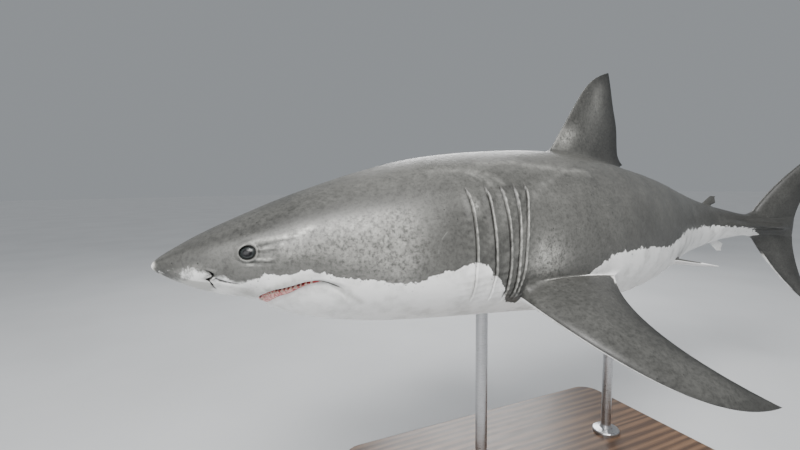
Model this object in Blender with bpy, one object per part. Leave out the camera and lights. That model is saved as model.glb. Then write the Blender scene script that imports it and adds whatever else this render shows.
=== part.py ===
"""A great white shark as a life-size still model, swimming level with its tail swept to the left, on a
display stand of one flat base and two rods.

Metres, +Z up, snout toward -X, the left flank toward -Y. The origin is the middle of the underside of the
base. The body is drawn straight first, in body coordinates: s runs back from the tip of the snout, y to the
right and z up, all in percent of the total length. It is then bent along its backbone. Each named length of
the body is a loft of cross-sections, and each fin is a loft of streamlined sections from root to tip.
"""

import math

import bmesh
import bpy
import numpy as np
from mathutils import Matrix, Vector

# ---- driving dimensions -------------------------------------------------------------------------------
TOTAL_LENGTH = 3.8  # m, snout tip to the tip of the upper tail lobe laid back in line with the body
PERCENT = TOTAL_LENGTH / 100.0
GAP = 0.0003  # m between pieces that meet
SNOUT_TIP = Vector((-1.40, -0.05, 1.02))  # m, where the tip of the snout is over the base

# bends of the backbone: the middle turns to the right, the tail sweeps back to the left and droops
BODY_TURN, BODY_TURN_FROM, BODY_TURN_TO = math.radians(14.7), 20.0, 60.0
TAIL_SWEEP, TAIL_SWEEP_FROM, TAIL_SWEEP_TO = math.radians(-37.6), 55.0, 90.0
TAIL_DROOP, TAIL_DROOP_FROM, TAIL_DROOP_TO = math.radians(-3.5), 30.0, 85.0

# body outline: name, station, top, bottom, half width, height of the widest line (all % of total length)
BODY_SIZES = (
    ("snout tip", 0.0, 0.00, 0.00, 0.00, 0.0),
    ("snout cap", 0.5, 0.62, -0.55, 0.70, 0.0),
    ("snout cone", 1.5, 1.22, -1.13, 1.49, 0.1),
    ("nostrils", 3.0, 2.02, -1.83, 2.46, 0.2),
    ("before the eyes", 5.0, 2.92, -2.46, 3.50, 0.3),
    ("front of the mouth", 6.6, 3.58, -2.82, 4.22, 0.3),
    ("chin", 8.2, 4.23, -3.80, 4.93, 0.2),
    ("jaw joint", 12.0, 5.57, -5.00, 6.05, 0.0),
    ("throat", 16.0, 6.78, -5.60, 7.00, -0.3),
    ("first gill", 21.0, 7.88, -5.95, 7.80, -0.5),
    ("last gill", 27.0, 8.50, -6.35, 8.12, -0.6),
    ("shoulder", 33.0, 8.75, -6.85, 8.15, -0.6),
    ("below the first dorsal", 40.0, 8.35, -7.10, 7.80, -0.5),
    ("belly", 47.0, 7.35, -6.85, 6.95, -0.3),
    ("pelvic fins", 55.0, 6.15, -5.95, 5.66, 0.0),
    ("behind the vent", 63.0, 4.78, -4.65, 4.18, 0.1),
    ("before the second dorsal", 70.0, 3.41, -3.39, 2.99, 0.2),
    ("tail stalk", 76.0, 2.35, -2.10, 2.12, 0.2),
    ("tail pit", 80.5, 1.76, -1.48, 1.70, 0.2),
    ("tail root", 84.0, 1.80, -1.50, 1.40, 0.15),
    ("inside the tail fin", 88.0, 1.90, -1.60, 0.50, 0.15),
)
UPPER_SHAPE, LOWER_SHAPE = 2.1, 2.3  # exponents of the section: 2 is an ellipse
KEEL_WIDTH, KEEL_SPREAD = 1.25, math.radians(13.0)  # ridge along each side of the tail stalk
KEEL_FROM, KEEL_FULL, KEEL_FADE, KEEL_TO = 71.0, 79.0, 83.5, 88.0
AROUND = 32  # points round a section

# where one named length of the body ends and the next begins
HEAD_END, SHOULDER_END, BELLY_END, BODY_END = 19.5, 41.0, 62.0, 88.0

# mouth: a flat cleft that rises from the front of the mouth to its corners
MOUTH_FRONT, MOUTH_FRONT_HEIGHT = 6.7, -2.62
MOUTH_CORNER, MOUTH_CORNER_HEIGHT = 10.7, -1.25
MOUTH_GAPE = 0.42  # at the front, nothing at the corners
JAW_TIP, JAW_BACK = 7.1, 13.6
JAW_HALF_WIDTH = 6.3  # at the corners of the mouth

EYE_STATION, EYE_ANGLE = 6.09, math.radians(76.5)
EYE_RADIUS, EYE_DEPTH = 0.62, 0.36  # the ball, and how far its middle lies under the skin

NOSTRIL_STATION, NOSTRIL_ANGLE = 3.65, math.radians(112.0)

GILL_TOPS = (21.5, 23.6, 25.1, 26.4, 27.5)  # stations of the upper ends
GILL_LOW = (22.1, 23.7, 24.8, 25.6, 26.2)  # stations of the lower ends
GILL_FROM, GILL_TO = math.radians(50.0), math.radians(122.0)
GILL_WIDTH, GILL_DEPTH = 0.28, 0.55


# ---- small tools --------------------------------------------------------------------------------------
def ease(low, high, value):
    """0 below low, 1 above high, smooth in between."""
    t = np.clip((np.asarray(value, float) - low) / (high - low), 0.0, 1.0)
    return t * t * (3.0 - 2.0 * t)


def smooth_curve(xs, ys, at):
    """A curve through the points with no overshoot (monotone cubic)."""
    xs, ys, at = (np.asarray(v, float) for v in (xs, ys, at))
    step, rise = np.diff(xs), np.diff(ys)
    grade = rise / step
    slope = np.zeros_like(ys)
    both = grade[:-1] * grade[1:] > 0
    w1, w2 = 2 * step[1:] + step[:-1], step[1:] + 2 * step[:-1]
    mean = (w1 + w2) / (w1 / np.where(both, grade[:-1], 1.0) + w2 / np.where(both, grade[1:], 1.0))
    slope[1:-1] = np.where(both, mean, 0.0)
    slope[0], slope[-1] = grade[0], grade[-1]
    i = np.clip(np.searchsorted(xs, at) - 1, 0, len(xs) - 2)
    h, t = step[i], (at - xs[i]) / step[i]
    return (
        (1 + 2 * t) * (1 - t) ** 2 * ys[i]
        + t * (1 - t) ** 2 * h * slope[i]
        + t * t * (3 - 2 * t) * ys[i + 1]
        + t * t * (t - 1) * h * slope[i + 1]
    )


def column(index):
    """One column of the body sizes."""
    return np.array([row[index] for row in BODY_SIZES])


def body_sizes(s):
    """Top, bottom, half width and widest height at station s; the root of s keeps the snout round."""
    s = np.asarray(s, float)
    stations = column(1)
    top, bottom, half = (
        smooth_curve(np.sqrt(stations), column(i), np.sqrt(s)) for i in (2, 3, 4)
    )
    return top, bottom, half, smooth_curve(stations, column(5), s)


def keel(s):
    """How far the keel stands out at station s."""
    return KEEL_WIDTH * ease(KEEL_FROM, KEEL_FULL, s) * (1 - ease(KEEL_FADE, KEEL_TO, s))


def section(s, angle, grow=0.0):
    """(y, z) of the skin at an angle from the top, positive toward the left, grown outward by grow."""
    top, bottom, half, mid = body_sizes(s)
    top, bottom, half = top + grow, bottom - grow, half + grow
    c, d = np.cos(angle), np.sin(angle)
    power = 2.0 / np.where(c >= 0, UPPER_SHAPE, LOWER_SHAPE)
    ridge = keel(s) * np.exp(-(((np.abs(angle) - math.pi / 2) / KEEL_SPREAD) ** 2))
    y = -np.sign(d) * (half * np.abs(d) ** power + ridge)
    z = mid + np.where(c >= 0, top - mid, mid - bottom) * np.sign(c) * np.abs(c) ** power
    return y, z


def backbone():
    """Stations along the backbone with its place, turn and droop at each."""
    s = np.linspace(-5.0, 110.0, 1151)
    turn = BODY_TURN * ease(BODY_TURN_FROM, BODY_TURN_TO, s)
    turn = turn + TAIL_SWEEP * ease(TAIL_SWEEP_FROM, TAIL_SWEEP_TO, s)
    droop = TAIL_DROOP * ease(TAIL_DROOP_FROM, TAIL_DROOP_TO, s)
    heading = np.stack([np.cos(turn) * np.cos(droop), np.sin(turn) * np.cos(droop), np.sin(droop)], 1)
    steps = (heading[1:] + heading[:-1]) / 2 * (s[1] - s[0])
    place = np.concatenate([np.zeros((1, 3)), np.cumsum(steps, 0)])
    return s, place - place[np.argmin(np.abs(s))], turn, droop


BACKBONE = backbone()


def bend(points):
    """Body coordinates in percent to metres in the model's frame."""
    points = np.asarray(points, float)
    s, place, turn, droop = BACKBONE
    at = points[..., 0]
    a, b = np.interp(at, s, turn), np.interp(at, s, droop)
    middle = np.stack([np.interp(at, s, place[:, i]) for i in range(3)], -1)
    side = np.stack([-np.sin(a), np.cos(a), 0 * a], -1)
    up = np.stack([-np.cos(a) * np.sin(b), -np.sin(a) * np.sin(b), np.cos(b)], -1)
    bent = middle + side * points[..., 1:2] + up * points[..., 2:3]
    return bent * PERCENT + np.array(SNOUT_TIP)


def follow(points):
    """Body coordinates to metres for a piece that keeps its own shape beside the bent body."""
    points = np.asarray(points, float)
    start = bend([PECTORAL_STATION, 0.0, 0.0])
    axes = [(bend(np.array([PECTORAL_STATION, 0.0, 0.0]) + step) - start) / (0.01 * PERCENT)
            for step in 0.01 * np.eye(3)]
    offset = points - np.array([PECTORAL_STATION, 0.0, 0.0])
    return start + offset @ np.array(axes) * PERCENT


# ---- scene and mesh helpers ---------------------------------------------------------------------------
def clear_scene():
    """Remove every object of the scene."""
    for item in list(bpy.data.objects):
        bpy.data.objects.remove(item, do_unlink=True)


def new_collection(name):
    """A collection linked to the scene."""
    made = bpy.data.collections.new(name)
    bpy.context.scene.collection.children.link(made)
    return made


def material(name, colour, roughness, metallic=0.0):
    """A Principled material."""
    made = bpy.data.materials.new(name)
    made.use_nodes = True
    shader = made.node_tree.nodes["Principled BSDF"]
    shader.inputs["Base Color"].default_value = (*colour, 1.0)
    shader.inputs["Roughness"].default_value = roughness
    shader.inputs["Metallic"].default_value = metallic
    return made


def mesh_object(name, bm, group, finish=None):
    """Turn a bmesh into a smooth-shaded object of the group."""
    bmesh.ops.recalc_face_normals(bm, faces=bm.faces)
    mesh = bpy.data.meshes.new(name)
    bm.to_mesh(mesh)
    bm.free()
    mesh.shade_smooth()
    mesh.set_sharp_from_angle(angle=math.radians(40))
    if finish:
        mesh.materials.append(finish)
    made = bpy.data.objects.new(name, mesh)
    group.objects.link(made)
    return made


def loft(rings, start=None, end=None):
    """A closed bmesh through rings of points, closed by a point or by a flat cap at each end."""
    bm = bmesh.new()
    rows = [[bm.verts.new(p) for p in ring] for ring in rings]
    count = len(rows[0])
    for first, second in zip(rows, rows[1:]):
        for k in range(count):
            n = (k + 1) % count
            bm.faces.new((first[k], first[n], second[n]))
            bm.faces.new((first[k], second[n], second[k]))
    for row, tip in ((rows[0], start), (rows[-1], end)):
        if tip is None:
            bm.faces.new(row)
            continue
        point = bm.verts.new(tip)
        for k in range(count):
            bm.faces.new((point, row[k], row[(k + 1) % count]))
    return bm


def hide(cutter):
    """Mark a cutter as a helper."""
    cutter.hide_render = True
    cutter.display_type = "WIRE"


def cut(target, cutter, operation="DIFFERENCE"):
    """Cut the target with a mesh object, or with all the meshes of a collection."""
    tool = target.modifiers.new(cutter.name, "BOOLEAN")
    tool.operation = operation
    tool.solver = "EXACT"
    if isinstance(cutter, bpy.types.Collection):
        tool.operand_type = "COLLECTION"
        tool.collection = cutter
    else:
        tool.object = cutter


# ---- the body -----------------------------------------------------------------------------------------
def body_stations():
    """Stations of all the cross-sections, closest at the snout and the chin."""
    snout = [0.15, 0.5, 1.0, 1.8, 2.8, 3.9, 5.0, 6.0, 6.7, 7.2, 7.7, 8.3, 9.2, 10.3, 11.6, 13.2, 15.0, 17.0]
    trunk = list(np.linspace(HEAD_END, SHOULDER_END, 10)) + list(np.linspace(SHOULDER_END, BELLY_END, 9))[1:]
    tail = [64.5, 67.0, 69.5, 72.0, 74.0, 76.0, 78.0, 80.0, 82.0, 84.0, 86.0, BODY_END]
    return snout + trunk + tail


def body_ring(s, grow=0.0):
    """One cross-section as points in the model's frame."""
    angle = np.linspace(-math.pi, math.pi, AROUND, endpoint=False)
    y, z = section(np.full(AROUND, s), angle, grow)
    return bend(np.stack([np.full(AROUND, s), y, z], 1))


def body_length(name, start, end, group, finish):
    """The body between two stations, as one closed piece."""
    half_gap = 0.5 * GAP / PERCENT
    first = start if start <= 0 else start + half_gap
    last = end if end >= BODY_END else end - half_gap
    inner = [s for s in body_stations() if first + 0.05 < s < last - 0.05]
    rings = [body_ring(s) for s in ([first] if start > 0 else []) + inner + [last]]
    tip = bend([0.0, 0.0, 0.0]) if start <= 0 else None
    return mesh_object(name, loft(rings, start=tip), group, finish)


def body_cutter(name, group):
    """The whole body grown by the gap, which trims the roots of the fins and the tops of the rods."""
    grow = 1.4 * GAP / PERCENT
    rings = [body_ring(s, grow) for s in body_stations()]
    rings.append(bend(np.stack([np.full(AROUND, BODY_END + grow), *section(np.full(AROUND, BODY_END),
                 np.linspace(-math.pi, math.pi, AROUND, endpoint=False), grow)], 1)))
    made = mesh_object(name, loft(rings, start=bend([-grow, 0.0, 0.0])), group)
    hide(made)
    return made


# ---- mouth --------------------------------------------------------------------------------------------
def gape(s):
    """How far the jaws are apart at station s."""
    along = (s - MOUTH_FRONT) / (MOUTH_CORNER - MOUTH_FRONT)
    return MOUTH_GAPE * math.sqrt(max(1.0 - max(along, 0.0) ** 2, 0.0))


def mouth_height(s, lower):
    """Height of the edge of the upper or the lower jaw at station s."""
    along = (s - MOUTH_FRONT) / (MOUTH_CORNER - MOUTH_FRONT)
    height = MOUTH_FRONT_HEIGHT + (MOUTH_CORNER_HEIGHT - MOUTH_FRONT_HEIGHT) * along
    return height - (gape(s) if lower else 0.0)


def jaw_half_width(s):
    """Half width of the lower jaw seen from below, a parabola from its tip to the corners."""
    return JAW_HALF_WIDTH * math.sqrt(max(s - JAW_TIP, 0.0) / (MOUTH_CORNER - JAW_TIP))


def jaw_block(name, group, grow, front, lower):
    """The space under the cleft of the mouth; the lower jaw fills it, and the head is cut back to it."""
    bottom, wide = -9.0, 9.0
    stations = [front, 7.3, 7.7, 8.3, 9.0, 9.7, 10.3, MOUTH_CORNER, JAW_BACK + grow]
    rings = []
    for s in stations:
        half = max(jaw_half_width(s), 0.35) if lower and s < MOUTH_CORNER else wide
        if s > MOUTH_CORNER:  # the back of the jaw slants down from the corner of the mouth
            top, low, back = MOUTH_CORNER_HEIGHT + grow, bottom, JAW_BACK + grow
            rings.append([(MOUTH_CORNER + 0.25 + grow, -half, top), (MOUTH_CORNER + 0.25 + grow, half, top),
                          (back, half, low), (back, -half, low)])
            continue
        top = mouth_height(s, lower) + grow
        lean = 0.9 * (s - front) / (MOUTH_CORNER - front) if lower else 0.0
        rings.append([(s, -half, top), (s, half, top), (s + 0.7 - 0.7 * lean, half, bottom),
                      (s + 0.7 - 0.7 * lean, -half, bottom)])
    made = mesh_object(name, loft([bend(np.array(r)) for r in rings]), group)
    hide(made)
    return made


TEETH_EACH_SIDE, TOOTH_HEIGHT, TOOTH_WIDTH = 11, 0.72, 0.34  # the height is a share of the gape
TOOTH_INSET = 0.25  # from the edge of the jaw


def add_teeth(group, jaw):
    """A row of pointed teeth along the edge of the lower jaw, joined to it."""
    bm = bmesh.new()
    for k in range(2 * TEETH_EACH_SIDE):
        across = (k + 0.5) / TEETH_EACH_SIDE - 1.0  # -1 at the right corner, 1 at the left
        reach = 0.90 * across
        s = JAW_TIP + TOOTH_INSET + (MOUTH_CORNER - JAW_TIP) * reach**2
        y = -(JAW_HALF_WIDTH - TOOTH_INSET) * reach
        small = 1.0 - 0.5 * across**2
        along = np.array([2 * (MOUTH_CORNER - JAW_TIP) * reach, -JAW_HALF_WIDTH, 0.0])
        along /= np.linalg.norm(along)
        out = np.array([along[1], -along[0], 0.0])
        foot = np.array([s, y, mouth_height(s, True)])
        deep = np.array([0.0, 0.0, -0.30])
        wide, thick = 0.5 * TOOTH_WIDTH * small, 0.18 * TOOTH_WIDTH
        ring = [bm.verts.new(bend(foot + deep + along * wide * a + out * thick * b))
                for a, b in ((-1, -1), (1, -1), (1, 1), (-1, 1))]
        tip = bm.verts.new(bend(foot + np.array([0.0, 0.0, TOOTH_HEIGHT * gape(s)])))
        bm.faces.new(ring)
        for i in range(4):
            bm.faces.new((ring[i], ring[(i + 1) % 4], tip))
    teeth = mesh_object("teeth_of_" + jaw.name, bm, group)
    hide(teeth)
    cut(jaw, teeth, "UNION")


# ---- eyes, nostrils and gills -------------------------------------------------------------------------
def skin_frame(s, angle):
    """A point of the skin with the directions back, round and out of it, in the model's frame."""
    def at(station, turn):
        y, z = section(np.array([station]), np.array([turn]))
        return bend(np.array([station, y[0], z[0]]))

    place = at(s, angle)
    back = at(s + 0.3, angle) - at(s - 0.3, angle)
    sign = 1.0 if angle > 0 else -1.0
    down = at(s, angle + sign * 0.05) - at(s, angle - sign * 0.05)
    back, down = Vector(back).normalized(), Vector(down).normalized()
    out = back.cross(down) * -sign
    out.normalize()
    return Vector(place), back, out.cross(back) * sign, out


def eyeball(name, side, group, finish, grow=0.0):
    """A ball that lies mostly under the skin."""
    place, back, down, out = skin_frame(EYE_STATION, side * EYE_ANGLE)
    bm = bmesh.new()
    radius = EYE_RADIUS * PERCENT + grow
    bmesh.ops.create_uvsphere(bm, u_segments=16, v_segments=9, radius=radius)
    turn = Matrix((back, down, back.cross(down))).transposed().to_4x4()
    turn.translation = place - out * EYE_DEPTH * PERCENT
    bmesh.ops.transform(bm, matrix=turn, verts=bm.verts)
    return mesh_object(name, bm, group, finish)


def slot(name, path, widths, depth, group):
    """A narrow lens-shaped groove along a path of (station, angle) on the skin."""
    rings = []
    for (s, angle), width in zip(path, widths):
        place, back, down, out = skin_frame(s, angle)
        across = back * width * PERCENT * 0.5
        lift = out * 0.25 * PERCENT
        rings.append([place - across + lift, place + across + lift, place - out * depth * PERCENT])
    made = mesh_object(name, loft(rings), group)
    hide(made)
    return made


def gill_slots(side, group):
    """The five gill slits of one flank."""
    for k in range(5):
        turns = np.linspace(0.0, 1.0, 8)
        s = GILL_LOW[k] + (GILL_TOPS[k] - GILL_LOW[k]) * (1 - turns) ** 2
        angles = side * (GILL_FROM + (GILL_TO - GILL_FROM) * turns)
        widths = GILL_WIDTH * np.clip(np.sin(math.pi * (0.06 + 0.88 * turns)) ** 0.5, 0.15, 1)
        slot(f"gill_cut_{k + 1}_{'left' if side > 0 else 'right'}", list(zip(s, angles)), widths,
             GILL_DEPTH, group)


def nostril(side, group):
    """The nostril, a slit that turns down toward the mouth."""
    turns = np.linspace(-1.0, 1.0, 5)
    path = [(NOSTRIL_STATION + 0.22 * t, side * (NOSTRIL_ANGLE + math.radians(15) * t)) for t in turns]
    slot(f"nostril_cut_{'left' if side > 0 else 'right'}", path, 0.30 * (1.15 - turns**2), 0.4, group)


# ---- fins ---------------------------------------------------------------------------------------------
FIN_STEPS = 5  # points along each face of a fin's section
FIN_EDGE = 0.030  # thickness of the rims, percent


def blade(share):
    """Half thickness of a streamlined section over its greatest, 1 a third of the way back."""
    return 2.598 * np.sqrt(share) * (1.0 - share)


def fin(name, leads, trails, thickness, faces_to, group, finish, body, place=bend):
    """A fin lofted through sections from a leading to a trailing point, in body coordinates."""
    share = (1 - np.cos(np.linspace(0, math.pi, FIN_STEPS + 1))) / 2
    rings = []
    for lead, trail, thick, normal in zip(leads, trails, thickness, faces_to):
        lead, trail, normal = (np.array(v, float) for v in (lead, trail, normal))
        chord = lead + (trail - lead) * share[:, None]
        half = (0.5 * thick * blade(share) + 0.5 * FIN_EDGE)[:, None]
        rings.append(place(np.concatenate([chord + normal * half, (chord - normal * half)[::-1]])))
    made = mesh_object(name, loft(rings), group, finish)
    cut(made, body)
    return made


def swept_edge(start, length, first, last, turns):
    """Points of an edge of a length whose angle above the body's axis changes evenly along it."""
    t = np.linspace(0, 1, 61)
    angle = first + (last - first) * t
    x = np.concatenate([[0], np.cumsum((np.cos(angle)[1:] + np.cos(angle)[:-1]) / 2)]) / 60 * length
    z = np.concatenate([[0], np.cumsum((np.sin(angle)[1:] + np.sin(angle)[:-1]) / 2)]) / 60 * length
    return start[0] + np.interp(turns, t, x), start[1] + np.interp(turns, t, z)


DORSAL_ORIGIN, DORSAL_BASE_END, DORSAL_LOBE = 36.3, 48.0, 50.5
DORSAL_HEIGHT, DORSAL_SWEEP, DORSAL_ROUNDING, DORSAL_SHARPNESS = 9.65, 7.2, 2.7, 9.5
DORSAL_LEVEL = 8.3  # height of the fin's foot above the body's axis


def first_dorsal(group, finish, body):
    """The tall fin on the back, with a rounded tip and a short free lobe at the rear of its base."""
    heights = np.array([-2.6, -1.25, -0.85, -0.3, 0.6, 1.8, 3.4, 5.0, 6.5, 7.6, 8.5, 9.1, 9.45, 9.65])
    share = np.clip(heights, 0, None) / DORSAL_HEIGHT
    lead = DORSAL_ORIGIN + DORSAL_SWEEP * share + DORSAL_ROUNDING * share**DORSAL_SHARPNESS
    trail = smooth_curve((-2.6, -1.25, -0.85, -0.3, 0.6, 3.5, 6.0, 9.0, 9.65),
                         (DORSAL_BASE_END - 0.4, DORSAL_BASE_END, DORSAL_LOBE, 49.7, 48.95, 48.5, 47.6, 46.65, 46.4),
                         heights)
    leads = [(s, 0, DORSAL_LEVEL + h) for s, h in zip(lead, heights)]
    trails = [(s, 0, DORSAL_LEVEL + h) for s, h in zip(trail, heights)]
    thick = 1.15 * (1 - share) ** 0.8 + 0.06
    return fin("first_dorsal_fin", leads, trails, thick, [(0, 1, 0)] * len(leads), group, finish, body)


def small_fin(name, origin, level, height, side, group, finish, body):
    """The second dorsal fin or the anal fin: low, with a long free rear tip."""
    share = np.array([-0.6, 0.0, 0.3, 0.6, 0.85, 1.0])
    lead = origin + 1.35 * np.clip(share, -0.3, 1) * height
    trail = origin + 1.7 + np.array([-0.1, 0.5, 1.35, 1.2, 1.1, 1.25])
    leads = [(s, 0, level + side * h * height) for s, h in zip(lead, share)]
    trails = [(s, 0, level + side * h * height) for s, h in zip(trail, share)]
    thick = 0.28 * (1 - np.clip(share, 0, 1)) + 0.05
    return fin(name, leads, trails, thick, [(0, 1, 0)] * len(leads), group, finish, body)


TAIL_FORK = (88.6, 0.15)
NOTCH_DEPTH = 0.5


def tail_lobe(name, start, length, first, last, thick, notch, group, finish, body):
    """One lobe of the crescent tail fin, from the middle of the tail to its tip."""
    turns = np.array([0.0, 0.1, 0.22, 0.35, 0.48, 0.6, 0.7, 0.76, 0.8, 0.84, 0.9, 0.96, 1.0])
    s, z = swept_edge(start, length, first, last, turns)
    tip_s, tip_z = s[-1], z[-1]
    rise = turns * 0.995
    trail_s = TAIL_FORK[0] + (tip_s + 0.35 - TAIL_FORK[0]) * turns**1.6
    trail_s = trail_s - notch * np.exp(-(((turns - 0.8) / 0.04) ** 2))
    side = 1.0 if tip_z > 0 else -1.0
    level = TAIL_FORK[1] + side * 0.5 * GAP / PERCENT
    trail_z = level + (tip_z - level) * rise
    leads = [(80.3, 0, level)] + [(a, 0, b) for a, b in zip(s, z)]
    trails = [(TAIL_FORK[0] - 0.02, 0, level)] + [(a, 0, b) for a, b in zip(trail_s[1:], trail_z[1:])]
    trails.insert(1, (TAIL_FORK[0], 0, level + side * 0.6))
    thickness = np.concatenate([[thick], thick * (1 - turns) ** 0.75 + 0.05])
    return fin(name, leads, trails, thickness, [(0, 1, 0)] * len(leads), group, finish, body)


PECTORAL_LENGTH = 20.8
PECTORAL_ROOT = (26.3, math.radians(118.0))  # station and angle of the front of the root
PECTORAL_CHORD = (11.6, -0.3)  # rear of the root from its front: back and out
PECTORAL_SWEEP, PECTORAL_CURVE = math.radians(37.0), math.radians(50.4)
PECTORAL_HOLLOW = 4.7  # how far the trailing edge is hollowed
PECTORAL_DROOP, PECTORAL_MORE_DROOP = math.radians(7.5), math.radians(45.3)
PECTORAL_TWIST = math.radians(3.4)
PECTORAL_STATION = 30.0  # the fin follows the backbone here, and does not bend with it


def pectoral_place(back, out, side):
    """A point of the flat fin, so far back and out, laid on its drooping span beside the body."""
    y0, z0 = section(np.array([PECTORAL_ROOT[0]]), np.array([PECTORAL_ROOT[1]]))
    reach = PECTORAL_LENGTH * math.cos(PECTORAL_SWEEP)
    t = np.linspace(-0.3, 1.2, 151)
    droop = PECTORAL_DROOP + PECTORAL_MORE_DROOP * np.clip(t, 0, None)
    step = (t[1] - t[0]) * reach
    y = np.concatenate([[0], np.cumsum((np.cos(droop)[1:] + np.cos(droop)[:-1]) / 2 * step)])
    z = np.concatenate([[0], np.cumsum((np.sin(droop)[1:] + np.sin(droop)[:-1]) / 2 * step)])
    y, z = y - np.interp(0, t, y), z - np.interp(0, t, z)
    share = out / reach
    here = np.interp(share, t, droop)
    tilt = back * math.sin(PECTORAL_TWIST)
    normal = np.array([0.0, -math.sin(here), math.cos(here)])
    point = np.array([back * math.cos(PECTORAL_TWIST), -np.interp(share, t, y), -np.interp(share, t, z)])
    point = point + normal * tilt + np.array([PECTORAL_ROOT[0], y0[0], z0[0]])
    mirror = np.array([1.0, side, 1.0])
    return point * mirror, normal * mirror


def pectoral(side, group, finish, body):
    """A long curved pectoral fin; side 1 is the left."""
    turns = np.concatenate([np.linspace(0, 0.8, 11), [0.87, 0.93, 0.97, 1.0]])
    fine = np.linspace(0, 1, 101)
    sweep = PECTORAL_SWEEP + PECTORAL_CURVE * (2 * fine - 1)
    back = np.concatenate([[0], np.cumsum((np.sin(sweep)[1:] + np.sin(sweep)[:-1]) / 2)]) / 100
    out = np.concatenate([[0], np.cumsum((np.cos(sweep)[1:] + np.cos(sweep)[:-1]) / 2)]) / 100
    lead = np.stack([np.interp(turns, fine, back), np.interp(turns, fine, out)], 1) * PECTORAL_LENGTH
    tip, corner = lead[-1] + (0.15, 0.0), np.array(PECTORAL_CHORD)
    straight = tip - corner
    across = np.array([-straight[1], straight[0]]) / np.linalg.norm(straight)
    trail = corner + straight * turns[:, None] + across * (PECTORAL_HOLLOW * 4 * turns * (1 - turns))[:, None]
    lead = np.concatenate([[(0.4, -2.6)], lead])
    trail = np.concatenate([[(10.6, -2.6)], trail])
    leads, trails, normals = [], [], []
    for (a, b), (c, d) in zip(lead, trail):
        point, normal = pectoral_place(a, b, side)
        leads.append(point)
        normals.append(normal)
        trails.append(pectoral_place(c, d, side)[0])
    thickness = np.concatenate([[1.5], 1.45 * (1 - turns) ** 0.85 + 0.08])
    name = "pectoral_fin_left" if side > 0 else "pectoral_fin_right"
    return fin(name, leads, trails, thickness, normals, group, finish, body, follow)


PELVIC_ROOT = (53.6, math.radians(124.0))
PELVIC_REACH, PELVIC_RAISE = 4.2, math.radians(8.0)
PELVIC_PITCH = 0.13  # how much lower the rear edge is, per percent back


def pelvic(side, group, finish, body):
    """A short pelvic fin, nearly level, low on the side of the belly."""
    y0, z0 = section(np.array([PELVIC_ROOT[0]]), np.array([PELVIC_ROOT[1]]))
    share = np.array([-0.45, 0.0, 0.25, 0.5, 0.75, 0.9, 1.0])
    back = np.array([0.0, 0.0, 0.95, 2.0, 3.2, 4.1, 4.9])
    rear = np.array([5.0, 5.5, 6.3, 6.0, 5.6, 5.4, 5.2])
    leads, trails = [], []
    for a, b, c in zip(share, back, rear):
        y, z = y0[0] - a * PELVIC_REACH * math.cos(PELVIC_RAISE), z0[0] + a * PELVIC_REACH * math.sin(PELVIC_RAISE)
        leads.append((PELVIC_ROOT[0] + b, side * y, z - PELVIC_PITCH * b))
        trails.append((PELVIC_ROOT[0] + c, side * (y + 0.10 * c), z - PELVIC_PITCH * c))
    thickness = 0.55 * (1 - np.clip(share, 0, 1)) ** 0.8 + 0.07
    normal = (0.0, side * math.sin(PELVIC_RAISE), math.cos(PELVIC_RAISE))
    name = "pelvic_fin_left" if side > 0 else "pelvic_fin_right"
    return fin(name, leads, trails, thickness, [normal] * len(leads), group, finish, body)


# ---- the stand ----------------------------------------------------------------------------------------
BASE_LENGTH, BASE_WIDTH, BASE_THICKNESS, BASE_BEVEL = 1.50, 0.90, 0.05, 0.008
BASE_CORNER = 0.09
ROD_RADIUS, FOOT_RADIUS, FOOT_HEIGHT = 0.022, 0.060, 0.016
ROD_STATIONS = (28.0, 48.5)


def stand_base(group, finish):
    """A flat plate with rounded corners and eased edges."""
    bm = bmesh.new()
    place = Matrix.Translation((0, 0, BASE_THICKNESS / 2))
    bmesh.ops.create_cube(bm, size=1.0, matrix=place @ Matrix.Diagonal((BASE_LENGTH, BASE_WIDTH, BASE_THICKNESS, 1)))
    upright = [e for e in bm.edges if abs(e.verts[0].co.z - e.verts[1].co.z) > 0.5 * BASE_THICKNESS]
    bmesh.ops.bevel(bm, geom=upright, offset=BASE_CORNER, segments=6, profile=0.5, affect="EDGES")
    rim = [e for e in bm.edges if all(v.co.z > BASE_THICKNESS - 1e-5 for v in e.verts)]
    bmesh.ops.bevel(bm, geom=rim, offset=BASE_BEVEL, segments=2, profile=0.5, affect="EDGES")
    return mesh_object("stand_base", bm, group, finish)


def stand_rod(name, station, group, finish, body):
    """A rod with a round foot, up to the belly, as one turned piece."""
    spot = bend([station, 0.0, 0.0])
    top = bend([station, 0.0, -1.0])[2]
    low = BASE_THICKNESS + GAP
    profile = [(0.0, top), (ROD_RADIUS, top), (ROD_RADIUS, low + FOOT_HEIGHT + 0.02),
               (ROD_RADIUS + 0.006, low + FOOT_HEIGHT + 0.006), (FOOT_RADIUS - 0.004, low + FOOT_HEIGHT),
               (FOOT_RADIUS, low + FOOT_HEIGHT - 0.004), (FOOT_RADIUS, low), (0.0, low)]
    bm = bmesh.new()
    around = 24
    rows = [[bm.verts.new((spot[0] + r * math.cos(2 * math.pi * k / around),
                           spot[1] + r * math.sin(2 * math.pi * k / around), z)) for k in range(around)]
            for r, z in profile[1:-1]]
    for first, second in zip(rows, rows[1:]):
        for k in range(around):
            n = (k + 1) % around
            bm.faces.new((first[k], first[n], second[n], second[k]))
    bm.faces.new(rows[0])
    bm.faces.new(rows[-1])
    made = mesh_object(name, bm, group, finish)
    cut(made, body)
    return made


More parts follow.
